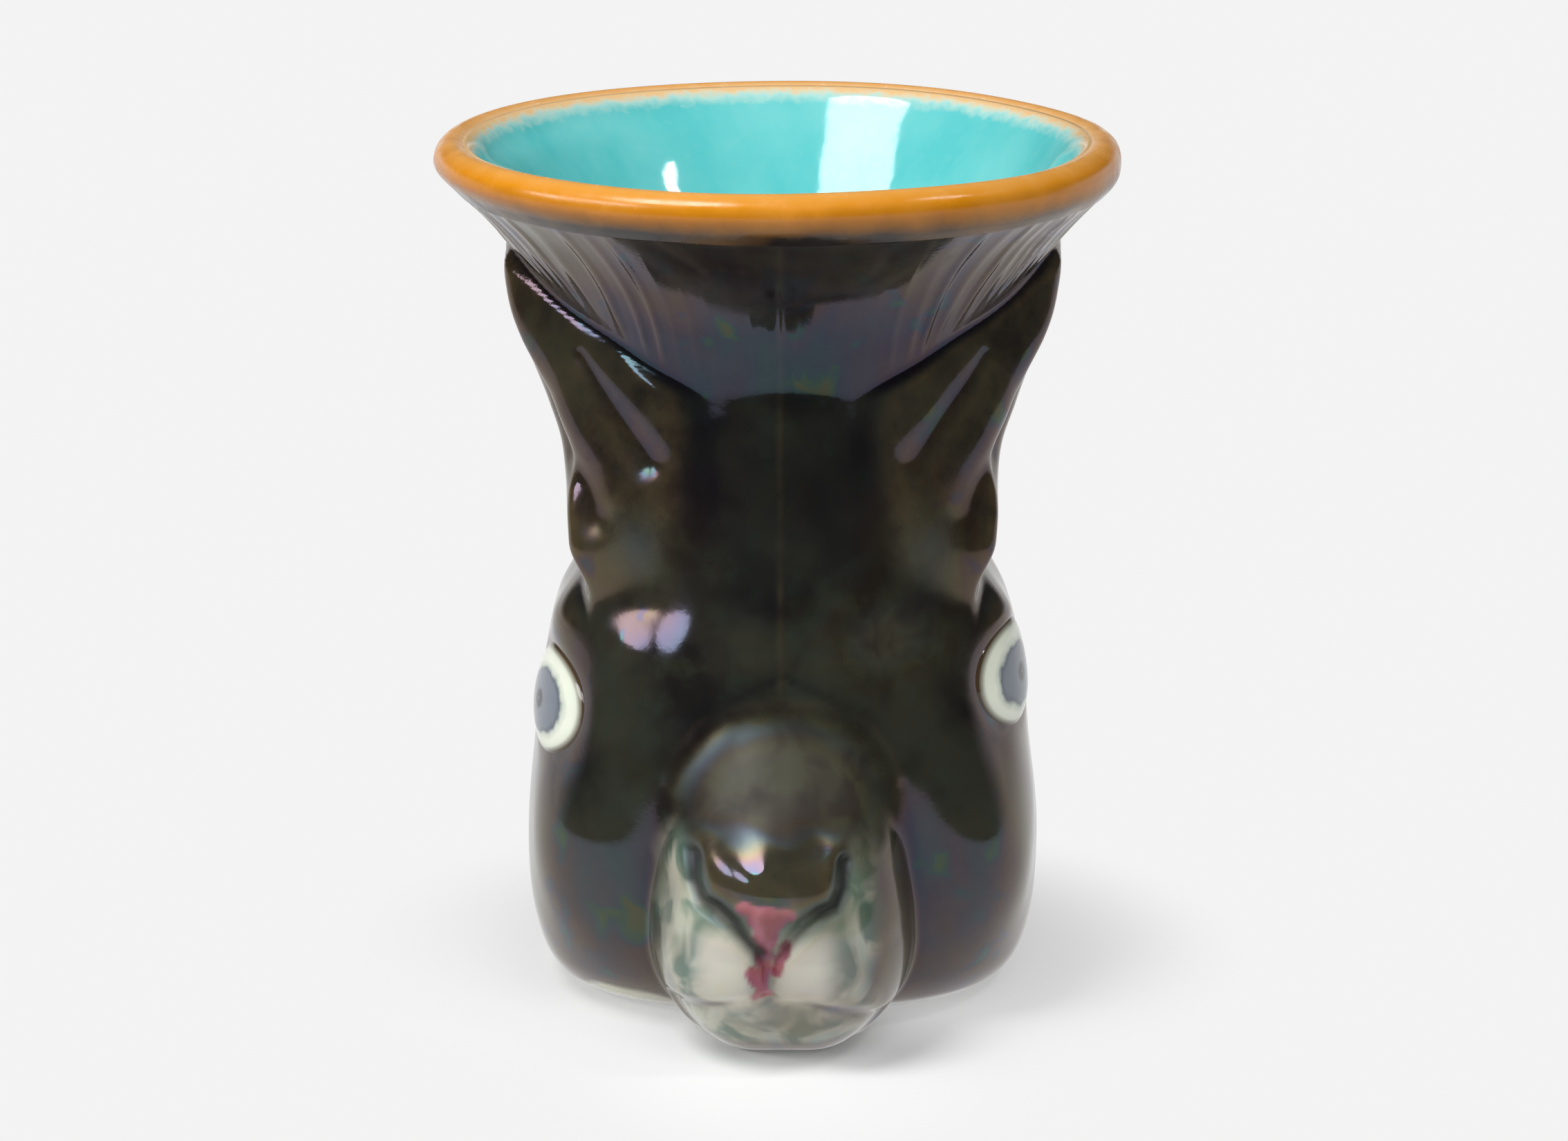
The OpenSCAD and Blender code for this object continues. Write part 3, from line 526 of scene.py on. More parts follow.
# %% Brown lead glaze: colours
browns = add(t, "MapRange", {0: clouds, 1: 0.38, 2: 0.62})
colour = add(t, "Mix", {SHARE: browns, UNDER: linear("#181716"), OVER: linear("#2f3027")}, **MIX)
olive = add(t, "MapRange", {0: mottle, 1: 0.5, 2: 0.72, 4: 0.6})
colour = add(t, "Mix", {SHARE: olive, UNDER: colour, OVER: linear("#283229")}, **MIX)
colour = add(t, "Mix", {SHARE: masks["pool"], UNDER: colour, OVER: linear("#121013")}, **MIX)
worn = add(t, "MapRange", {0: mottle, 1: 0.2, 2: 0.6})
worn = add(t, "Math", {0: worn, 1: masks["thin"]}, operation="MULTIPLY")
colour = add(t, "Mix", {SHARE: worn, UNDER: colour, OVER: linear("#55472f")}, **MIX)
mossy = add(t, "MapRange", {0: patches, 1: 0.4, 2: 0.62})
moss = add(t, "Mix", {SHARE: mossy, UNDER: linear("#241b10"), OVER: linear("#393826")}, **MIX)
colour = add(t, "Mix", {SHARE: masks["matt"], UNDER: colour, OVER: moss}, **MIX)
up = add(t, "SeparateXYZ", {0: where}, output=2)
painted_floor_reflection = add(t, "MapRange", {0: up, 1: 0.036, 2: 0.006, 4: 0.6})  # lighter low on the jaw: painted reflection of the white floor
colour = add(t, "Mix", {SHARE: painted_floor_reflection, UNDER: colour, OVER: linear("#4c4d3d")}, **MIX)
greens = add(t, "MapRange", {0: patches, 1: 0.42, 2: 0.57})
pale = add(t, "Mix", {SHARE: greens, UNDER: linear("#557566"), OVER: linear("#b0b5a3")}, **MIX)
greys = add(t, "MapRange", {0: clouds, 1: 0.5, 2: 0.62, 4: 0.5})
pale = add(t, "Mix", {SHARE: greys, UNDER: pale, OVER: linear("#847866")}, **MIX)
pale = add(t, "Mix", {SHARE: masks["cream"], UNDER: pale, OVER: linear("#cbc5b6")}, **MIX)
colour = add(t, "Mix", {SHARE: masks["pale"], UNDER: colour, OVER: pale}, **MIX)
washed = add(t, "MapRange", {0: patches, 1: 0.4, 2: 0.65})
pink = add(t, "Mix", {SHARE: washed, UNDER: linear("#86414f"), OVER: linear("#b5707a")}, **MIX)
colour = add(t, "Mix", {SHARE: masks["pink"], UNDER: colour, OVER: pink}, **MIX)
colour = add(t, "Mix", {SHARE: masks["line"], UNDER: colour, OVER: linear("#262b29")}, **MIX)
colour = add(t, "Mix", {SHARE: masks["foot"], UNDER: colour, OVER: linear("#cfd2bd")}, **MIX)
print("nodes so far:", len(t.nodes))

# %% Brown lead glaze: gloss
FILM_THIN, FILM_THICK, GREEN_SPOT = 268.0, 330.0, 95.0  # nanometres; a spot's thickness comes on top
MATT_ROUGH = 0.55
rough = add(t, "MapRange", {0: mottle, 1: 0.3, 2: 0.75, 3: 0.05, 4: 0.15})
rough = add(t, "Math", {0: masks["matt"], 1: MATT_ROUGH, 2: rough}, operation="MULTIPLY_ADD")
film = add(t, "MapRange", {0: streaks, 1: 0.3, 2: 0.7, 3: FILM_THIN, 4: FILM_THICK})
green_spots = add(t, "MapRange", {0: patches, 1: 0.58, 2: 0.72, 4: GREEN_SPOT})
film = add(t, "Math", {0: film, 1: green_spots}, operation="ADD")
glossy = add(t, "Math", {0: 1.0, 1: masks["matt"]}, operation="SUBTRACT")
film = add(t, "Math", {0: film, 1: glossy}, operation="MULTIPLY")
peel = add(t, "Bump", {"Height": grain, "Strength": 0.12, "Distance": 0.00006})
glaze = add(t, "BsdfPrincipled", {"Base Color": colour, "Roughness": rough, "IOR": LEAD_GLAZE_IOR,
                                  "Thin Film Thickness": film, "Thin Film IOR": FILM_IOR, "Normal": peel})
add(t, "OutputMaterial", {"Surface": glaze})
print("nodes in", brown_glaze.name, len(t.nodes))

# %% [markdown]
# ## The head
#
# The head is lofted from the middle of its flat jaw, up over the outside, in under the lip and down
# the inside of the wall, so it is a closed vessel of clay. How much each point stands above the
# mean of its neighbours says where glaze runs thin and where it pools.

# %% Head mesh
WALL, LIP_WALL, FLOOR_T, BOWL_ROUND = 5.0, 7.6, 9.0, 16.0
UNDERCUT = 1.0  # keeps the coarser inside of the clay behind the coat in the bowl


def bowl_wall(angle, z):
    """Inside of the clay: a wall behind the body, thicker under the lip and rounded in at the bottom."""
    reach = WALL / 2 * (1 - ease(94, 102, z))
    near = np.min([body(angle, np.clip(z + s * reach, 0, NECK_TOP)) for s in (-1, 0, 1)], axis=0)
    behind = WALL + (LIP_WALL - WALL) * np.clip((z - 100) / (NECK_TOP - 100), 0, 1) ** 2.2
    t = np.clip((z - FLOOR_T) / BOWL_ROUND, 0, 1)
    return (near - behind) * np.sqrt(1 - (1 - t) ** 2)


angle, height = np.meshgrid(columns, rows)
radius = clay(angle, height)
outside = placed(radius, angle, height)
jaw = outside[0][None] * np.array([0.25, 0.5, 0.75, 0.92])[:, None, None]
in_rows = FLOOR_T + (NECK_TOP - FLOOR_T) * np.linspace(1, 0.03, 15) ** 1.4
in_angle, in_height = np.meshgrid(columns, in_rows)
in_drop = UNDERCUT * (in_height < FLOOR_T + BOWL_ROUND)
inside = placed(bowl_wall(in_angle, in_height) + UNDERCUT, in_angle, in_height - in_drop)
head = loft("head", np.concatenate([jaw, outside, inside]), brown_glaze)


def standing_proud(angle, z, r, reach):
    """How far each point stands above the mean of four neighbours at a reach in millimetres."""
    turn = reach / np.maximum(r, 1)
    low, high = np.clip(z - reach, 0, NECK_TOP), np.clip(z + reach, 0, NECK_TOP)
    beside = clay(angle - turn, z, False) + clay(angle + turn, z, False)
    return r - (beside + clay(angle, low, False) + clay(angle, high, False)) / 4


unscored = clay(angle, height, False)
fine, broad = (standing_proud(angle, height, unscored, reach) for reach in (1.0, 3.0))
for name, relief in (("1 mm", fine), ("3 mm", broad)):
    print("relief at", name, np.round(np.percentile(relief, [1, 50, 99]), 2))

# %% [markdown]
# ## Painting the head
#
# Each mask is a formula in millimetres across the front of the muzzle and up from the floor. The
# pads are cream, the nose and the parting carry a few strokes of pink, and dark lines lie in the
# nostrils and the corners of the mouth.

# %% Head masks
# strokes of pink: from and to, across and up, and half width
PINK_STROKES = [((-5.6, 25.3), (1.1, 24.5), 0.9), ((-3.0, 24.0), (-1.7, 23.8), 2.0),
                ((-2.4, 22.6), (-2.4, 20.8), 1.8), ((-2.4, 20.4), (-2.6, 17.5), 1.3),
                ((-2.6, 18.0), (-3.0, 12.2), 1.0), ((0.5, 19.6), (-0.9, 15.6), 0.8),
                ((-4.4, 15.8), (-3.7, 14.2), 0.9), ((-3.9, 11.7), (-2.0, 12.0), 0.6)]
# areas: strength, place and reach across, place and reach up
CREAM_PADS = [(0.95, -8.0, 4.2, 15.2, 6.6), (0.9, 3.2, 4.4, 16.0, 5.8)]
DARK_NOSE = (0.85, 0, 6.0, 27.5, 4.0)
MATT_NOSE = (0.25, 0, 9, 23, 3)
MATT_BROW = (0.7, 15, 8, 58, 6)
MATT_EAR_ROOT = (0.4, 36, 16, 71, 9)  # across in degrees
MATT_NOSTRIL, MATT_NOSTRIL_W = 0.7, 2.2
CROWN_Z, CROWN_REACH = 78, 10

x, y = outside[..., 0], outside[..., 1]
nx = np.abs(x - NOSE_X)
ahead = on_muzzle(angle, radius)
uneven = waves(x, y, height, 9)
ear_rise, share = ear(angle, height)

top = 23.6 + 7.0 * ease(7, 13, nx) + 1.5 * uneven
pale_mask = ahead * (1 - ease(11.5, 17.5, nx + 1.5 * uneven))
pale_mask = pale_mask * ease(0.5, 3.5, height) * (1 - ease(-4, 5, height - top))
pale_mask = pale_mask * (1 - swell(nx, height, *DARK_NOSE))
cream_mask, pink_mask = np.zeros_like(x), np.zeros_like(x)
for strength, at, reach, up_at, tall in CREAM_PADS:
    pad = strength * np.exp(-(((x - at) / reach) ** 4) - ((height - up_at) / tall) ** 4)
    cream_mask = np.maximum(cream_mask, pad)
for start, end, width in PINK_STROKES:
    off = to_line(x, height, [start, end])[0] + 0.25 * waves(x, y, height, 2.5)
    pink_mask = np.maximum(pink_mask, 1 - ease(width - 0.35, width + 0.35, off))
off_nostril, along = to_line(nx, height, NOSTRIL)
line_mask = hump(off_nostril, 1.1) * (1 - 0.55 * (x > NOSE_X) * ease(0.45, 0.6, along))
under = height - mouth_line(x)
corners = ease(3.5, 8, nx) * (1 - ease(13, 16.5, nx))
line_mask = np.maximum(line_mask, hump(under + 0.5, 0.8 + 0.8 * ease(7, 12, nx)) * corners)
seam_line = (y < 0) * hump(x - SEAM_X, 0.5) * ease(48, 54, height)
ridges = mane(angle, height) * np.clip(strokes(angle, height), -1, 1)
on_edges = 0.6 * np.clip(fine / 0.12, 0, 1) + 0.4 * np.clip(broad / 0.9 - 0.3, 0, 1)
on_ridges = 0.2 * seam_line + 0.6 * np.maximum(ridges, 0) + 0.45 * ease(0.4, 1.8, ear_rise)
thin_mask = np.clip(on_edges + on_ridges, 0, 1) * (1 - 0.35 * (1 - ease(0.9, 1.1, share)))
in_dents = 0.7 * np.clip(-fine / 0.15, 0, 1) + 0.8 * np.clip(-broad / 0.8, 0, 1)
# a darker band across the front of the crown, mixed into the same near-black as the pooled glaze
on_crown = 0.6 * hump(height - CROWN_Z, CROWN_REACH) * (y < 0)
pool_mask = np.clip(in_dents + on_crown + 0.6 * np.maximum(-ridges, 0), 0, 1)
rim_top = 2.2 + 2.6 * hump(np.degrees(angle) + 40, 14)
foot_mask = (1 - ease(rim_top - 1.4, rim_top, height + 0.5 * uneven)) * (0.35 + 0.65 * ease(2, 14, -x))

bridge = (y < -30) * ease(30, 38, height + 1.5 * uneven)
bridge = bridge * (1 - ease(0.5, 1.15, np.hypot(x / 17, (height - 35) / 15)))
right_brow = (y < 0) * swell(x, height, *MATT_BROW)
ear_root = (y < 0) * swell(np.degrees(np.abs(angle)), height, *MATT_EAR_ROOT)
nostrils = MATT_NOSTRIL * hump(off_nostril, MATT_NOSTRIL_W) * ahead
nose_tip = ahead * swell(nx, height, *MATT_NOSE)
matt_mask = np.clip(bridge + nose_tip + right_brow + nostrils + ear_root, 0, 1)

blank = np.zeros((len(jaw), len(columns)))
on_head = {"thin": thin_mask, "pool": pool_mask, "pale": pale_mask, "cream": cream_mask * ahead,
           "pink": pink_mask * ahead, "line": line_mask * ahead, "matt": matt_mask}
for name, mask in on_head.items():
    paint(head, name, np.concatenate([blank, mask]))
paint(head, "foot", np.concatenate([blank + 1, foot_mask]))
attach(head, "root")
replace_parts(head, "left_shell", "right_shell", "left_ear", "right_ear",
            "nose", "left_pad", "right_pad", "chin")
print("share of the head that is pale:", round(float(pale_mask.mean()), 3))

# %% [markdown]
# ## Turquoise glaze in the bowl
#
# The inside was filled with turquoise glaze and poured out. It is deepest in colour low down and
# thins to a pale wash under the lip, with a few paler runs where it drained.

# %% Turquoise glaze
turquoise_glaze, t = new_material("turquoise_lead_glaze_poured")
where = add(t, "TexCoord", output="Object")
level = add(t, "Attribute", output="Fac", attribute_name="level")
runs = add(t, "Mapping", {"Vector": where, "Scale": (1.0, 1.0, 0.25)})
drain = add(t, "TexNoise", {"Vector": runs, "Scale": per_metre(9), "Detail": 3.0})
speck = add(t, "TexNoise", {"Vector": where, "Scale": per_metre(1.6), "Detail": 3.0})
thick = add(t, "MapRange", {0: drain, 1: 0.35, 2: 0.7})
deep = add(t, "Mix", {SHARE: thick, UNDER: linear("#5ec5c6"), OVER: linear("#76d0cf")}, **MIX)
bubbles = add(t, "MapRange", {0: speck, 1: 0.5, 2: 0.9, 4: 0.25})
deep = add(t, "Mix", {SHARE: bubbles, UNDER: deep, OVER: linear("#8ad4ca")}, **MIX)
low = add(t, "MapRange", {0: level, 1: 0.1, 2: 0.8})
colour = add(t, "Mix", {SHARE: low, UNDER: linear("#4cb6b5"), OVER: deep}, **MIX)
feather = add(t, "MapRange", {0: speck, 1: 0.3, 2: 0.7, 3: -0.04, 4: 0.04})
on_roll = add(t, "Attribute", output="Fac", attribute_name="brim")
edge = add(t, "Math", {0: on_roll, 1: feather}, operation="ADD")
wash = add(t, "MapRange", {0: edge, 1: 0.24, 2: 0.46})
colour = add(t, "Mix", {SHARE: wash, UNDER: colour, OVER: linear("#d3e6da")}, **MIX)
cream = add(t, "MapRange", {0: edge, 1: 0.36, 2: 0.46})
colour = add(t, "Mix", {SHARE: cream, UNDER: colour, OVER: linear("#e8c08a")}, **MIX)
peel = add(t, "Bump", {"Height": speck, "Strength": 0.1, "Distance": 0.0001})
glaze = add(t, "BsdfPrincipled", {"Base Color": colour, "Roughness": 0.07, "IOR": GLAZE_IOR, "Normal": peel})
add(t, "OutputMaterial", {"Surface": glaze})
print("nodes in", turquoise_glaze.name, len(t.nodes))

# %% [markdown]
# ## Bowl lining
#
# The lining is a thin coat on the inside of the clay, closed by its own back, which follows the
# bowl down to its rounded floor.

# %% Bowl lining
COAT_GAP, COAT = 0.2, 0.6
LIP_TOP = 125.0
FREE_EDGE = (118.5, 122)  # the edge starts to wander at the first height, and wanders fully at the second
BRIM_SECTION = [(40.9, 119.7), (41.7, 120.7), (42.5, 121.7), (43.3, 122.7), (44.0, 123.55), (44.6, 124.1),
                (45.2, 124.45), (45.7, 124.6), (45.8, 124.3), (45.0, 123.5), (43.6, 121.9), (41.9, 119.9)]


def drawn(points, steps):
    """A smooth line through points in a plane, in even steps."""
    points = np.array(points, float)
    length = np.concatenate([[0], np.cumsum(np.hypot(*np.diff(points, axis=0).T))])
    at = np.linspace(0, length[-1], steps)
    return np.stack([through(at, np.stack([length, points[:, i]], 1)) for i in (0, 1)], 1)


def lip_wander(turn):
    """How far a hand-finished edge strays outwards and upwards, in millimetres, round the cup."""
    out = 0.12 * np.sin(3 * turn + 0.5) + 0.08 * np.sin(7 * turn + 2.0) - 0.7 * np.sin(turn) + 0.1
    return out, 0.14 * np.sin(2 * turn + 1.2) + 0.09 * np.sin(5 * turn) - 0.23


bowl_columns = np.linspace(-math.pi, math.pi, 240, endpoint=False)
bowl_rows = FLOOR_T + (NECK_TOP - FLOOR_T) * np.linspace(0.02, 1, 90) ** 1.3
in_angle, in_height = np.meshgrid(bowl_columns, bowl_rows)
rounded = 1 - (in_height - FLOOR_T) / (NECK_TOP - FLOOR_T)
wall = bowl_wall(in_angle, in_height) - COAT_GAP
back_coat = placed(wall, in_angle, in_height + COAT_GAP * rounded)
front_coat = placed(wall - COAT, in_angle, in_height + (COAT_GAP + COAT) * rounded)
brim = drawn(BRIM_SECTION, 26)
lift = ease(*FREE_EDGE, brim[:, 1])[:, None]
wander_r, wander_z = lip_wander(bowl_columns)
brim_coat = placed(brim[:, :1] + lift * wander_r, bowl_columns[None], brim[:, 1:] + lift * wander_z)
lining = loft("bowl_glaze", np.concatenate([back_coat, brim_coat[::-1], front_coat[::-1]]), turquoise_glaze)
share_up = (in_height - FLOOR_T) / (LIP_TOP - FLOOR_T)
on_brim = np.repeat(np.linspace(0, 1, len(brim))[:, None], len(bowl_columns), 1)
paint(lining, "level", np.concatenate([share_up, 1 + 0 * on_brim, share_up[::-1]]))
paint(lining, "brim", np.concatenate([0 * share_up, on_brim[::-1], 0 * share_up]))
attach(lining, "root")
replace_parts(lining, "bowl_lining")
print("bowl depth, mm:", round(float(in_height.max() - in_height.min()), 1))

# %% [markdown]
# ## Ochre glaze on the lip
#
# The lip is banded with an ochre glaze. It thins to peach on the crown of the roll, the peach
# there partly a painted highlight, meets the turquoise in a feathered cream edge, and gathers to
# dark gold along the bottom of the band.

# %% Ochre glaze
def coloured(ramp, stops):
    """Sets a colour ramp's stops to (place, hex colour)."""
    while len(ramp.elements) < len(stops):
        ramp.elements.new(1.0)
    for element, (place, code) in zip(ramp.elements, stops):
        element.position, element.color = place, linear(code)


ochre_glaze, t = new_material("ochre_lead_glaze_band")
where = add(t, "TexCoord", output="Object")
roll = add(t, "Attribute", output="Fac", attribute_name="roll")
blot = add(t, "TexNoise", {"Vector": where, "Scale": per_metre(4), "Detail": 4.0})
long_blot = add(t, "TexNoise", {"Vector": where, "Scale": per_metre(15), "Detail": 2.0})
shift = add(t, "MapRange", {0: blot, 1: 0.25, 2: 0.75, 3: -0.02, 4: 0.02})
band = add(t, "Math", {0: roll, 1: shift}, operation="ADD")
across = add(t, "ValToRGB", {"Fac": band})
# from the dark foot of the band, over ochre and peach, partly a painted highlight, to the turquoise of the
# bowl
LIP_STOPS = [(0.0, "#1a1412"), (0.09, "#1f1712"), (0.125, "#5c3a0e"), (0.17, "#865408"), (0.24, "#b26c07"),
             (0.34, "#d88a12"), (0.45, "#e2a04c"), (0.53, "#e6ad6c"), (0.58, "#e8c391"), (0.625, "#d6dcc6"),
             (0.7, "#86d0cb"), (0.8, "#62c1bf")]
coloured(across.node.color_ramp, LIP_STOPS)
worn = add(t, "MapRange", {0: long_blot, 1: 0.45, 2: 0.7, 4: 0.2})
colour = add(t, "Mix", {SHARE: worn, UNDER: across, OVER: linear("#e6a552")}, **MIX)
rough = add(t, "MapRange", {0: blot, 1: 0.3, 2: 0.7, 3: 0.12, 4: 0.32})
inner = add(t, "MapRange", {0: band, 1: 0.56, 2: 0.68})
rough = add(t, "Mix", {SHARE: inner, 2: rough, 3: 0.07})
grip = add(t, "MapRange", {0: inner, 3: 0.25, 4: 0.03})
peel = add(t, "Bump", {"Height": blot, "Strength": grip, "Distance": 0.0003})
glaze = add(t, "BsdfPrincipled", {"Base Color": colour, "Roughness": rough, "IOR": GLAZE_IOR, "Normal": peel})
add(t, "OutputMaterial", {"Surface": glaze})
print("nodes in", ochre_glaze.name, len(t.nodes))

# %% [markdown]
# ## The lip
#
# The lip is a rolled ring. Its section is drawn once, from the bowl's edge over the roll to the
# outside of the neck, and carried round the axis with the slight wander of a hand-finished edge.

# %% Lip
LIP_SECTION = [(47.5, 117.6), (48.75, 118.95), (49.6, 120.3), (50.0, 121.9), (49.6, 123.5), (48.5, 124.6),
               (47.2, LIP_TOP), (46.0, 124.7), (45.2, 124.1), (44.3, 123.2), (43.2, 122.1), (42.1, 120.8),
               (41.0, 119.4), (40.45, 118.7), (40.0, 117.9)]
LIP_SEAT = [(42.6, 117.4), (45.6, 117.3)]

lip_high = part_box("lip")[1]
section = drawn(LIP_SECTION, 72)
roll_share = np.concatenate([np.linspace(0, 1, len(section)), [1, 0]])
section = np.concatenate([section, LIP_SEAT])
lip_columns = np.linspace(-math.pi, math.pi, 360, endpoint=False)
wander_r, wander_z = lip_wander(lip_columns)
lift = ease(*FREE_EDGE, section[:, 1])[:, None]
rings = placed(section[:, :1] + lift * wander_r, lip_columns[None], section[:, 1:] + lift * wander_z)
lip = loft("lip_glaze", rings, ochre_glaze, poles=False)
paint(lip, "roll", np.repeat(roll_share[:, None], len(lip_columns), 1))
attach(lip, "root")
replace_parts(lip, "lip")
print("lip, mm across:", round(2 * lip_high.x / MM, 1))

# %% [markdown]
# ## White, grey and black of the eyes
#
# Each eye is a low dome flooded with tin-white glaze, with a blue-grey iris laid on while wet, so
# its edge has bled, and a small dark pupil.

# %% Eye glaze
eye_glaze, t = new_material("tin_white_glaze_with_painted_iris")
where = add(t, "TexCoord", output="Object")
iris = add(t, "Attribute", output="Fac", attribute_name="iris")
blur = add(t, "TexNoise", {"Vector": where, "Scale": per_metre(2.5), "Detail": 3.0})
wobble = add(t, "MapRange", {0: blur, 1: 0.3, 2: 0.7, 3: -0.03, 4: 0.03})
ring = add(t, "Math", {0: iris, 1: wobble}, operation="ADD")
painted = add(t, "ValToRGB", {"Fac": ring})
IRIS_STOPS = [(0.0, "#7d848e"), (0.4, "#747b86"), (0.46, "#5f6773"), (0.52, "#cdd5c7"), (0.6, "#eaefdf"),
              (1.0, "#e2e9d7")]
coloured(painted.node.color_ramp, IRIS_STOPS)
pupil = add(t, "Attribute", output="Fac", attribute_name="pupil")
colour = add(t, "Mix", {SHARE: pupil, UNDER: painted, OVER: linear("#2e2c33")}, **MIX)
edge = add(t, "Attribute", output="Fac", attribute_name="edge")
colour = add(t, "Mix", {SHARE: edge, UNDER: colour, OVER: linear("#4a3a28")}, **MIX)
glaze = add(t, "BsdfPrincipled", {"Base Color": colour, "Roughness": 0.1, "IOR": GLAZE_IOR})
add(t, "OutputMaterial", {"Surface": glaze})
print("nodes in", eye_glaze.name, len(t.nodes))

# %% [markdown]
# ## Eyes
#
# An eye is a polar grid laid on the clay: rings from its middle to its outline, raised to a dome,
# with its edge just under the lid.

# %% Eyes
EYE_RISE, EYE_SUNK, EYE_BACK, EYE_RIM = 2.9, 1.3, 2.0, 1.1
GAZE, IRIS_HALF = -1.0, (6.6, 4.7)
PUPIL_AT, PUPIL_HALF = 0.0, (1.5, 1.3)


def eye(name, side):
    """One eye, on the right for side 1 and on the left for side -1."""
    out, turn = np.linspace(0.04, EYE_RIM, 22), np.linspace(0, 2 * math.pi, 64, endpoint=False)
    out, turn = np.meshgrid(out, turn, indexing="ij")
    across, up = out * np.cos(turn), out * np.sin(turn)
    angle = side * np.radians(EYE_ANGLE + np.degrees(across * EYE_HALF_W / EYE_ARC_R))
    z = EYE_Z + EYE_SKEW * side + up * EYE_HALF_H
    smooth = face(angle, z, body(angle, z)) + EYE_SOCKET * (1 - ease(*SOCKET_EDGE, out))
    dome = smooth + EYE_RISE * np.sqrt(np.clip(1 - (out / EYE_RIM) ** 2, 0, 1)) - EYE_SUNK
    front, back = placed(dome, angle, z), placed(smooth - EYE_BACK, angle, z)
    way = -side  # turns the rings so that the faces look outwards on both sides
    piece = loft(name, np.concatenate([front, back[::-1]])[:, ::way], eye_glaze)
    across_mm, up_mm = across * EYE_HALF_W, up * EYE_HALF_H
    degree_mm = math.radians(1) * EYE_ARC_R
    iris = np.hypot((across_mm - degree_mm * GAZE) / IRIS_HALF[0], up_mm / IRIS_HALF[1])
    pupil = np.hypot((across_mm - degree_mm * PUPIL_AT) / PUPIL_HALF[0], up_mm / PUPIL_HALF[1])
    painted_on = {"iris": np.minimum(iris / 2, 1), "pupil": 1 - ease(0.8, 1.3, pupil),
                  "edge": ease(0.88, 1.0, out)}
    for attribute, values in painted_on.items():
        paint(piece, attribute, np.concatenate([values, values[::-1]])[:, ::way])
    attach(piece, "root")
    return piece


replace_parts(eye("right_eye_glaze", 1), "right_eye", "right_iris", "right_pupil")
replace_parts(eye("left_eye_glaze", -1), "left_eye", "left_iris", "left_pupil")

# %% [markdown]
# ## Floor
#
# A wide sheet of white paper fills the view. Close to the cup it is a real surface that keeps the
# shadow, and further out it fades to an even white, which the glaze sees too. More light would
# whiten the paper as well, but it would also bleach the glazes.

# %% Floor
PAPER = linear("#f3f3f3")
UNDER_CHIN = (0.004, -0.058, 0.0)  # metres; the floor keeps most of its shadow here
CUP_FADE = {1: 0.035, 2: 0.072, 3: 0.5, 4: 1.0}  # metres from and to, share of even white from and to
CHIN_FADE = {1: 0.012, 2: 0.04, 3: 0.2, 4: 1.0}
MIRRORED_WHITE = 0.8
paper, t = new_material("white_paper_sweep")
place = add(t, "NewGeometry", output="Position")
away = add(t, "VectorMath", {0: place}, output="Value", operation="LENGTH")
far = add(t, "MapRange", {0: away, **CUP_FADE}, interpolation_type="SMOOTHSTEP")
before = add(t, "VectorMath", {0: place, 1: UNDER_CHIN}, output="Value", operation="DISTANCE")
clear = add(t, "MapRange", {0: before, **CHIN_FADE}, interpolation_type="SMOOTHSTEP")
far = add(t, "Math", {0: far, 1: clear}, operation="MULTIPLY")
ray = add(t, "LightPath").node.outputs
mirrored = add(t, "Math", {0: ray["Is Glossy Ray"], 1: ray["Is Transmission Ray"]}, operation="MAXIMUM")
share = add(t, "Math", {0: far, 1: ray["Is Camera Ray"]}, operation="MULTIPLY")
share = add(t, "Math", {0: mirrored, 1: MIRRORED_WHITE, 2: share}, operation="MULTIPLY_ADD")
lit = add(t, "BsdfDiffuse", {"Color": PAPER})
even = add(t, "Emission", {"Color": PAPER, "Strength": 1.0})
add(t, "OutputMaterial", {"Surface": add(t, "MixShader", {0: share, 1: lit, 2: even})})

FLOOR_R, FLOOR_SIDES = 5.0, 96
turns = np.linspace(0, 2 * math.pi, FLOOR_SIDES, endpoint=False)
rim = [(FLOOR_R * math.cos(a), FLOOR_R * math.sin(a), 0.0) for a in turns]
floor_mesh = bpy.data.meshes.new("floor")
floor_mesh.from_pydata(rim, [], [list(range(len(rim)))])
floor_mesh.materials.append(paper)
floor = bpy.data.objects.new("floor", floor_mesh)
floor.location.z = -0.0001
scene.collection.objects.link(floor)
print("floor radius, m:", FLOOR_R)

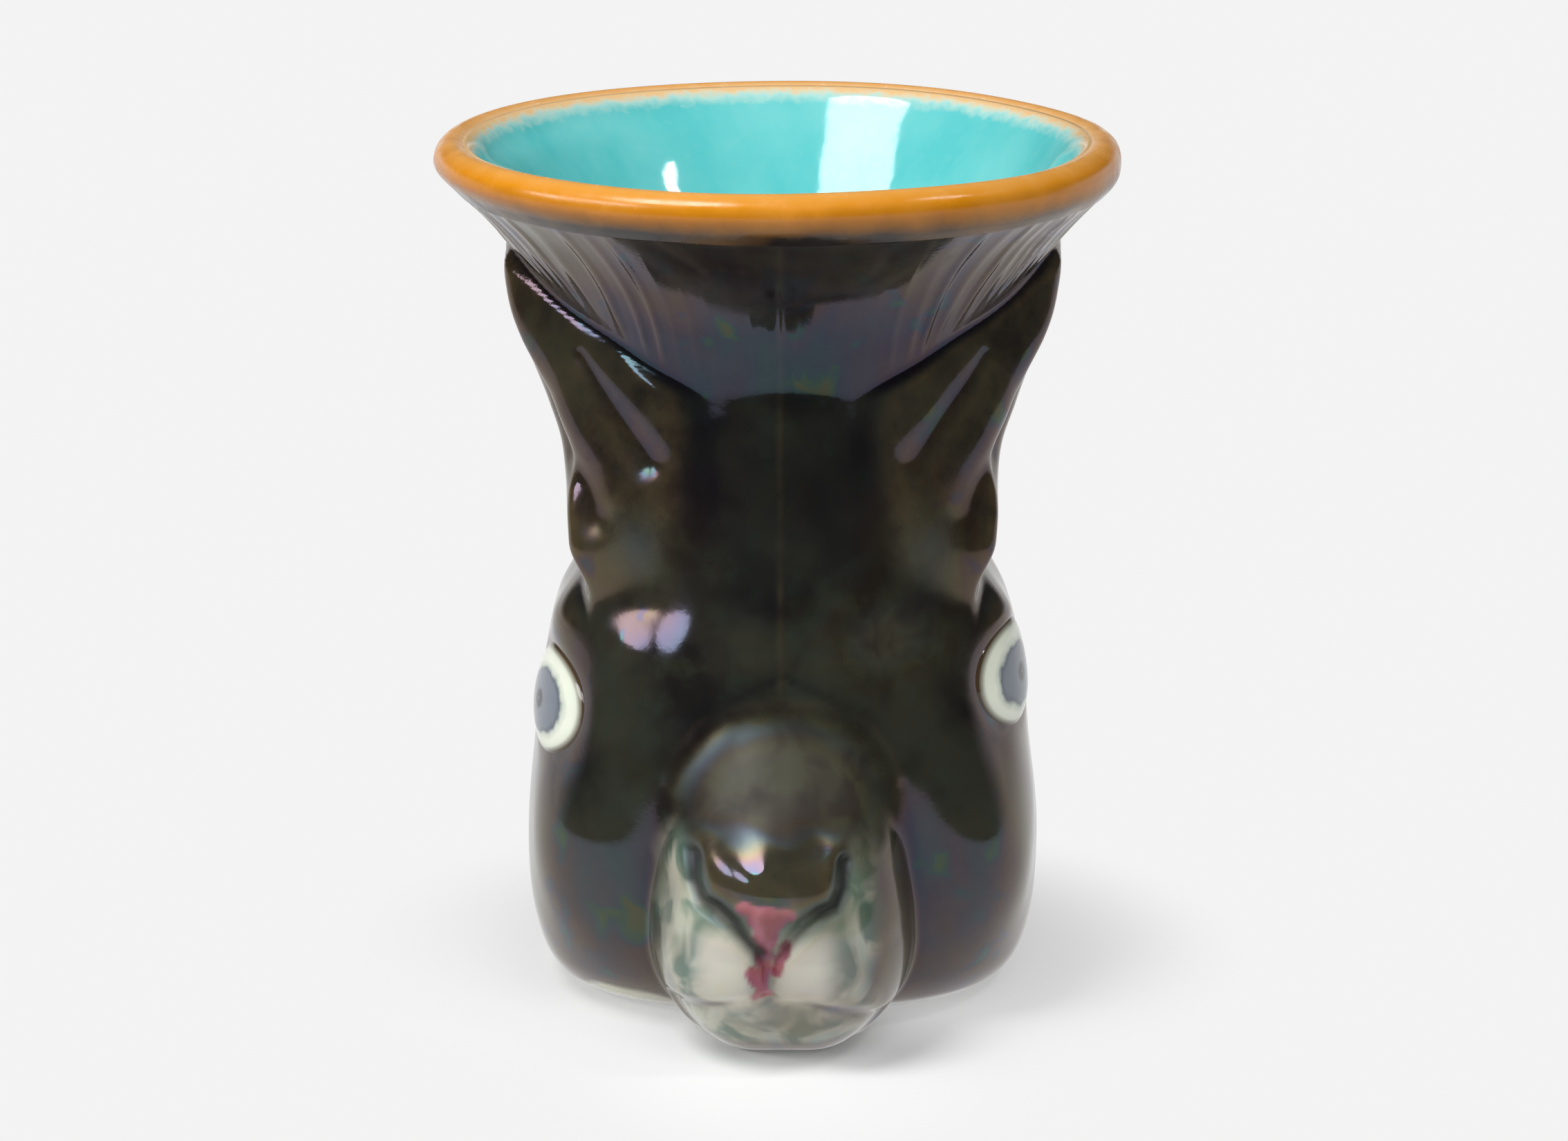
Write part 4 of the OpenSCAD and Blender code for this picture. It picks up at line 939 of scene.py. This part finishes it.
# %% [markdown]
# ## Room
#
# A glossy glaze mirrors the whole room. The room above is dark, as studios are, so the brown glaze
# stays deep, and only the sweep of paper low behind the cup is pale. The world's colour does this
# by direction, which is simpler than building walls.

# %% Room
world = bpy.data.worlds.new("studio")
scene.world = world
world.use_nodes = True
t = world.node_tree
t.nodes.clear()
direction = add(t, "SeparateXYZ", {"Vector": add(t, "TexCoord", output="Generated")}).node.outputs
behind = add(t, "MapRange", {0: direction["Y"], 1: 0.1, 2: 0.5})
low = add(t, "MapRange", {0: direction["Z"], 1: 0.15, 2: 0.02})
sweep = add(t, "Math", {0: behind, 1: low}, operation="MULTIPLY")
room = add(t, "Mix", {SHARE: sweep, UNDER: linear("#38383a"), OVER: linear("#ececec")}, **MIX)
add(t, "OutputWorld", {"Surface": add(t, "Background", {"Color": room, "Strength": 1.0})})
print("world nodes:", len(t.nodes))

# %% [markdown]
# ## Lamps
#
# A highlight on the glaze is the mirror image of a lamp, so the place and outline of each lamp decide
# where it falls and how it looks. Two oval lamps on the left, one above and a small one on the right
# put the highlights on the cup, and a soft fill that the glaze doesn't mirror lifts the front.

# %% Lamps
AIM = np.array([0.0, 0.0, 0.06])


def lamp(name, azimuth, elevation, distance, size, watts, reflected=True, tall=1.0):
    """An oval lamp that looks at the cup, placed by angles from the camera's side."""
    a, e = math.radians(azimuth), math.radians(elevation)
    light = bpy.data.lights.new(name, "AREA")
    light.shape, light.size, light.size_y, light.energy = "ELLIPSE", size, size * tall, watts
    bulb = bpy.data.objects.new(name, light)
    back = np.array([math.sin(a) * math.cos(e), -math.cos(a) * math.cos(e), math.sin(e)])
    bulb.location = AIM + distance * back
    bulb.rotation_euler = Euler((math.pi / 2 - e, 0, a))
    bulb.visible_glossy = reflected
    scene.collection.objects.link(bulb)


lamp("left_lamp_low", -79, 25, 0.9, 0.28, 1.1, tall=0.65)
lamp("left_lamp_high", -59, 31, 0.9, 0.28, 1.1, tall=0.65)
lamp("top_lamp", -54, 60, 0.9, 0.4, 5.2)
lamp("right_lamp", 76, 52, 1.0, 0.07, 1.1, tall=2.4)
lamp("front_fill", 24, 48, 1.1, 0.8, 4.6, reflected=False)
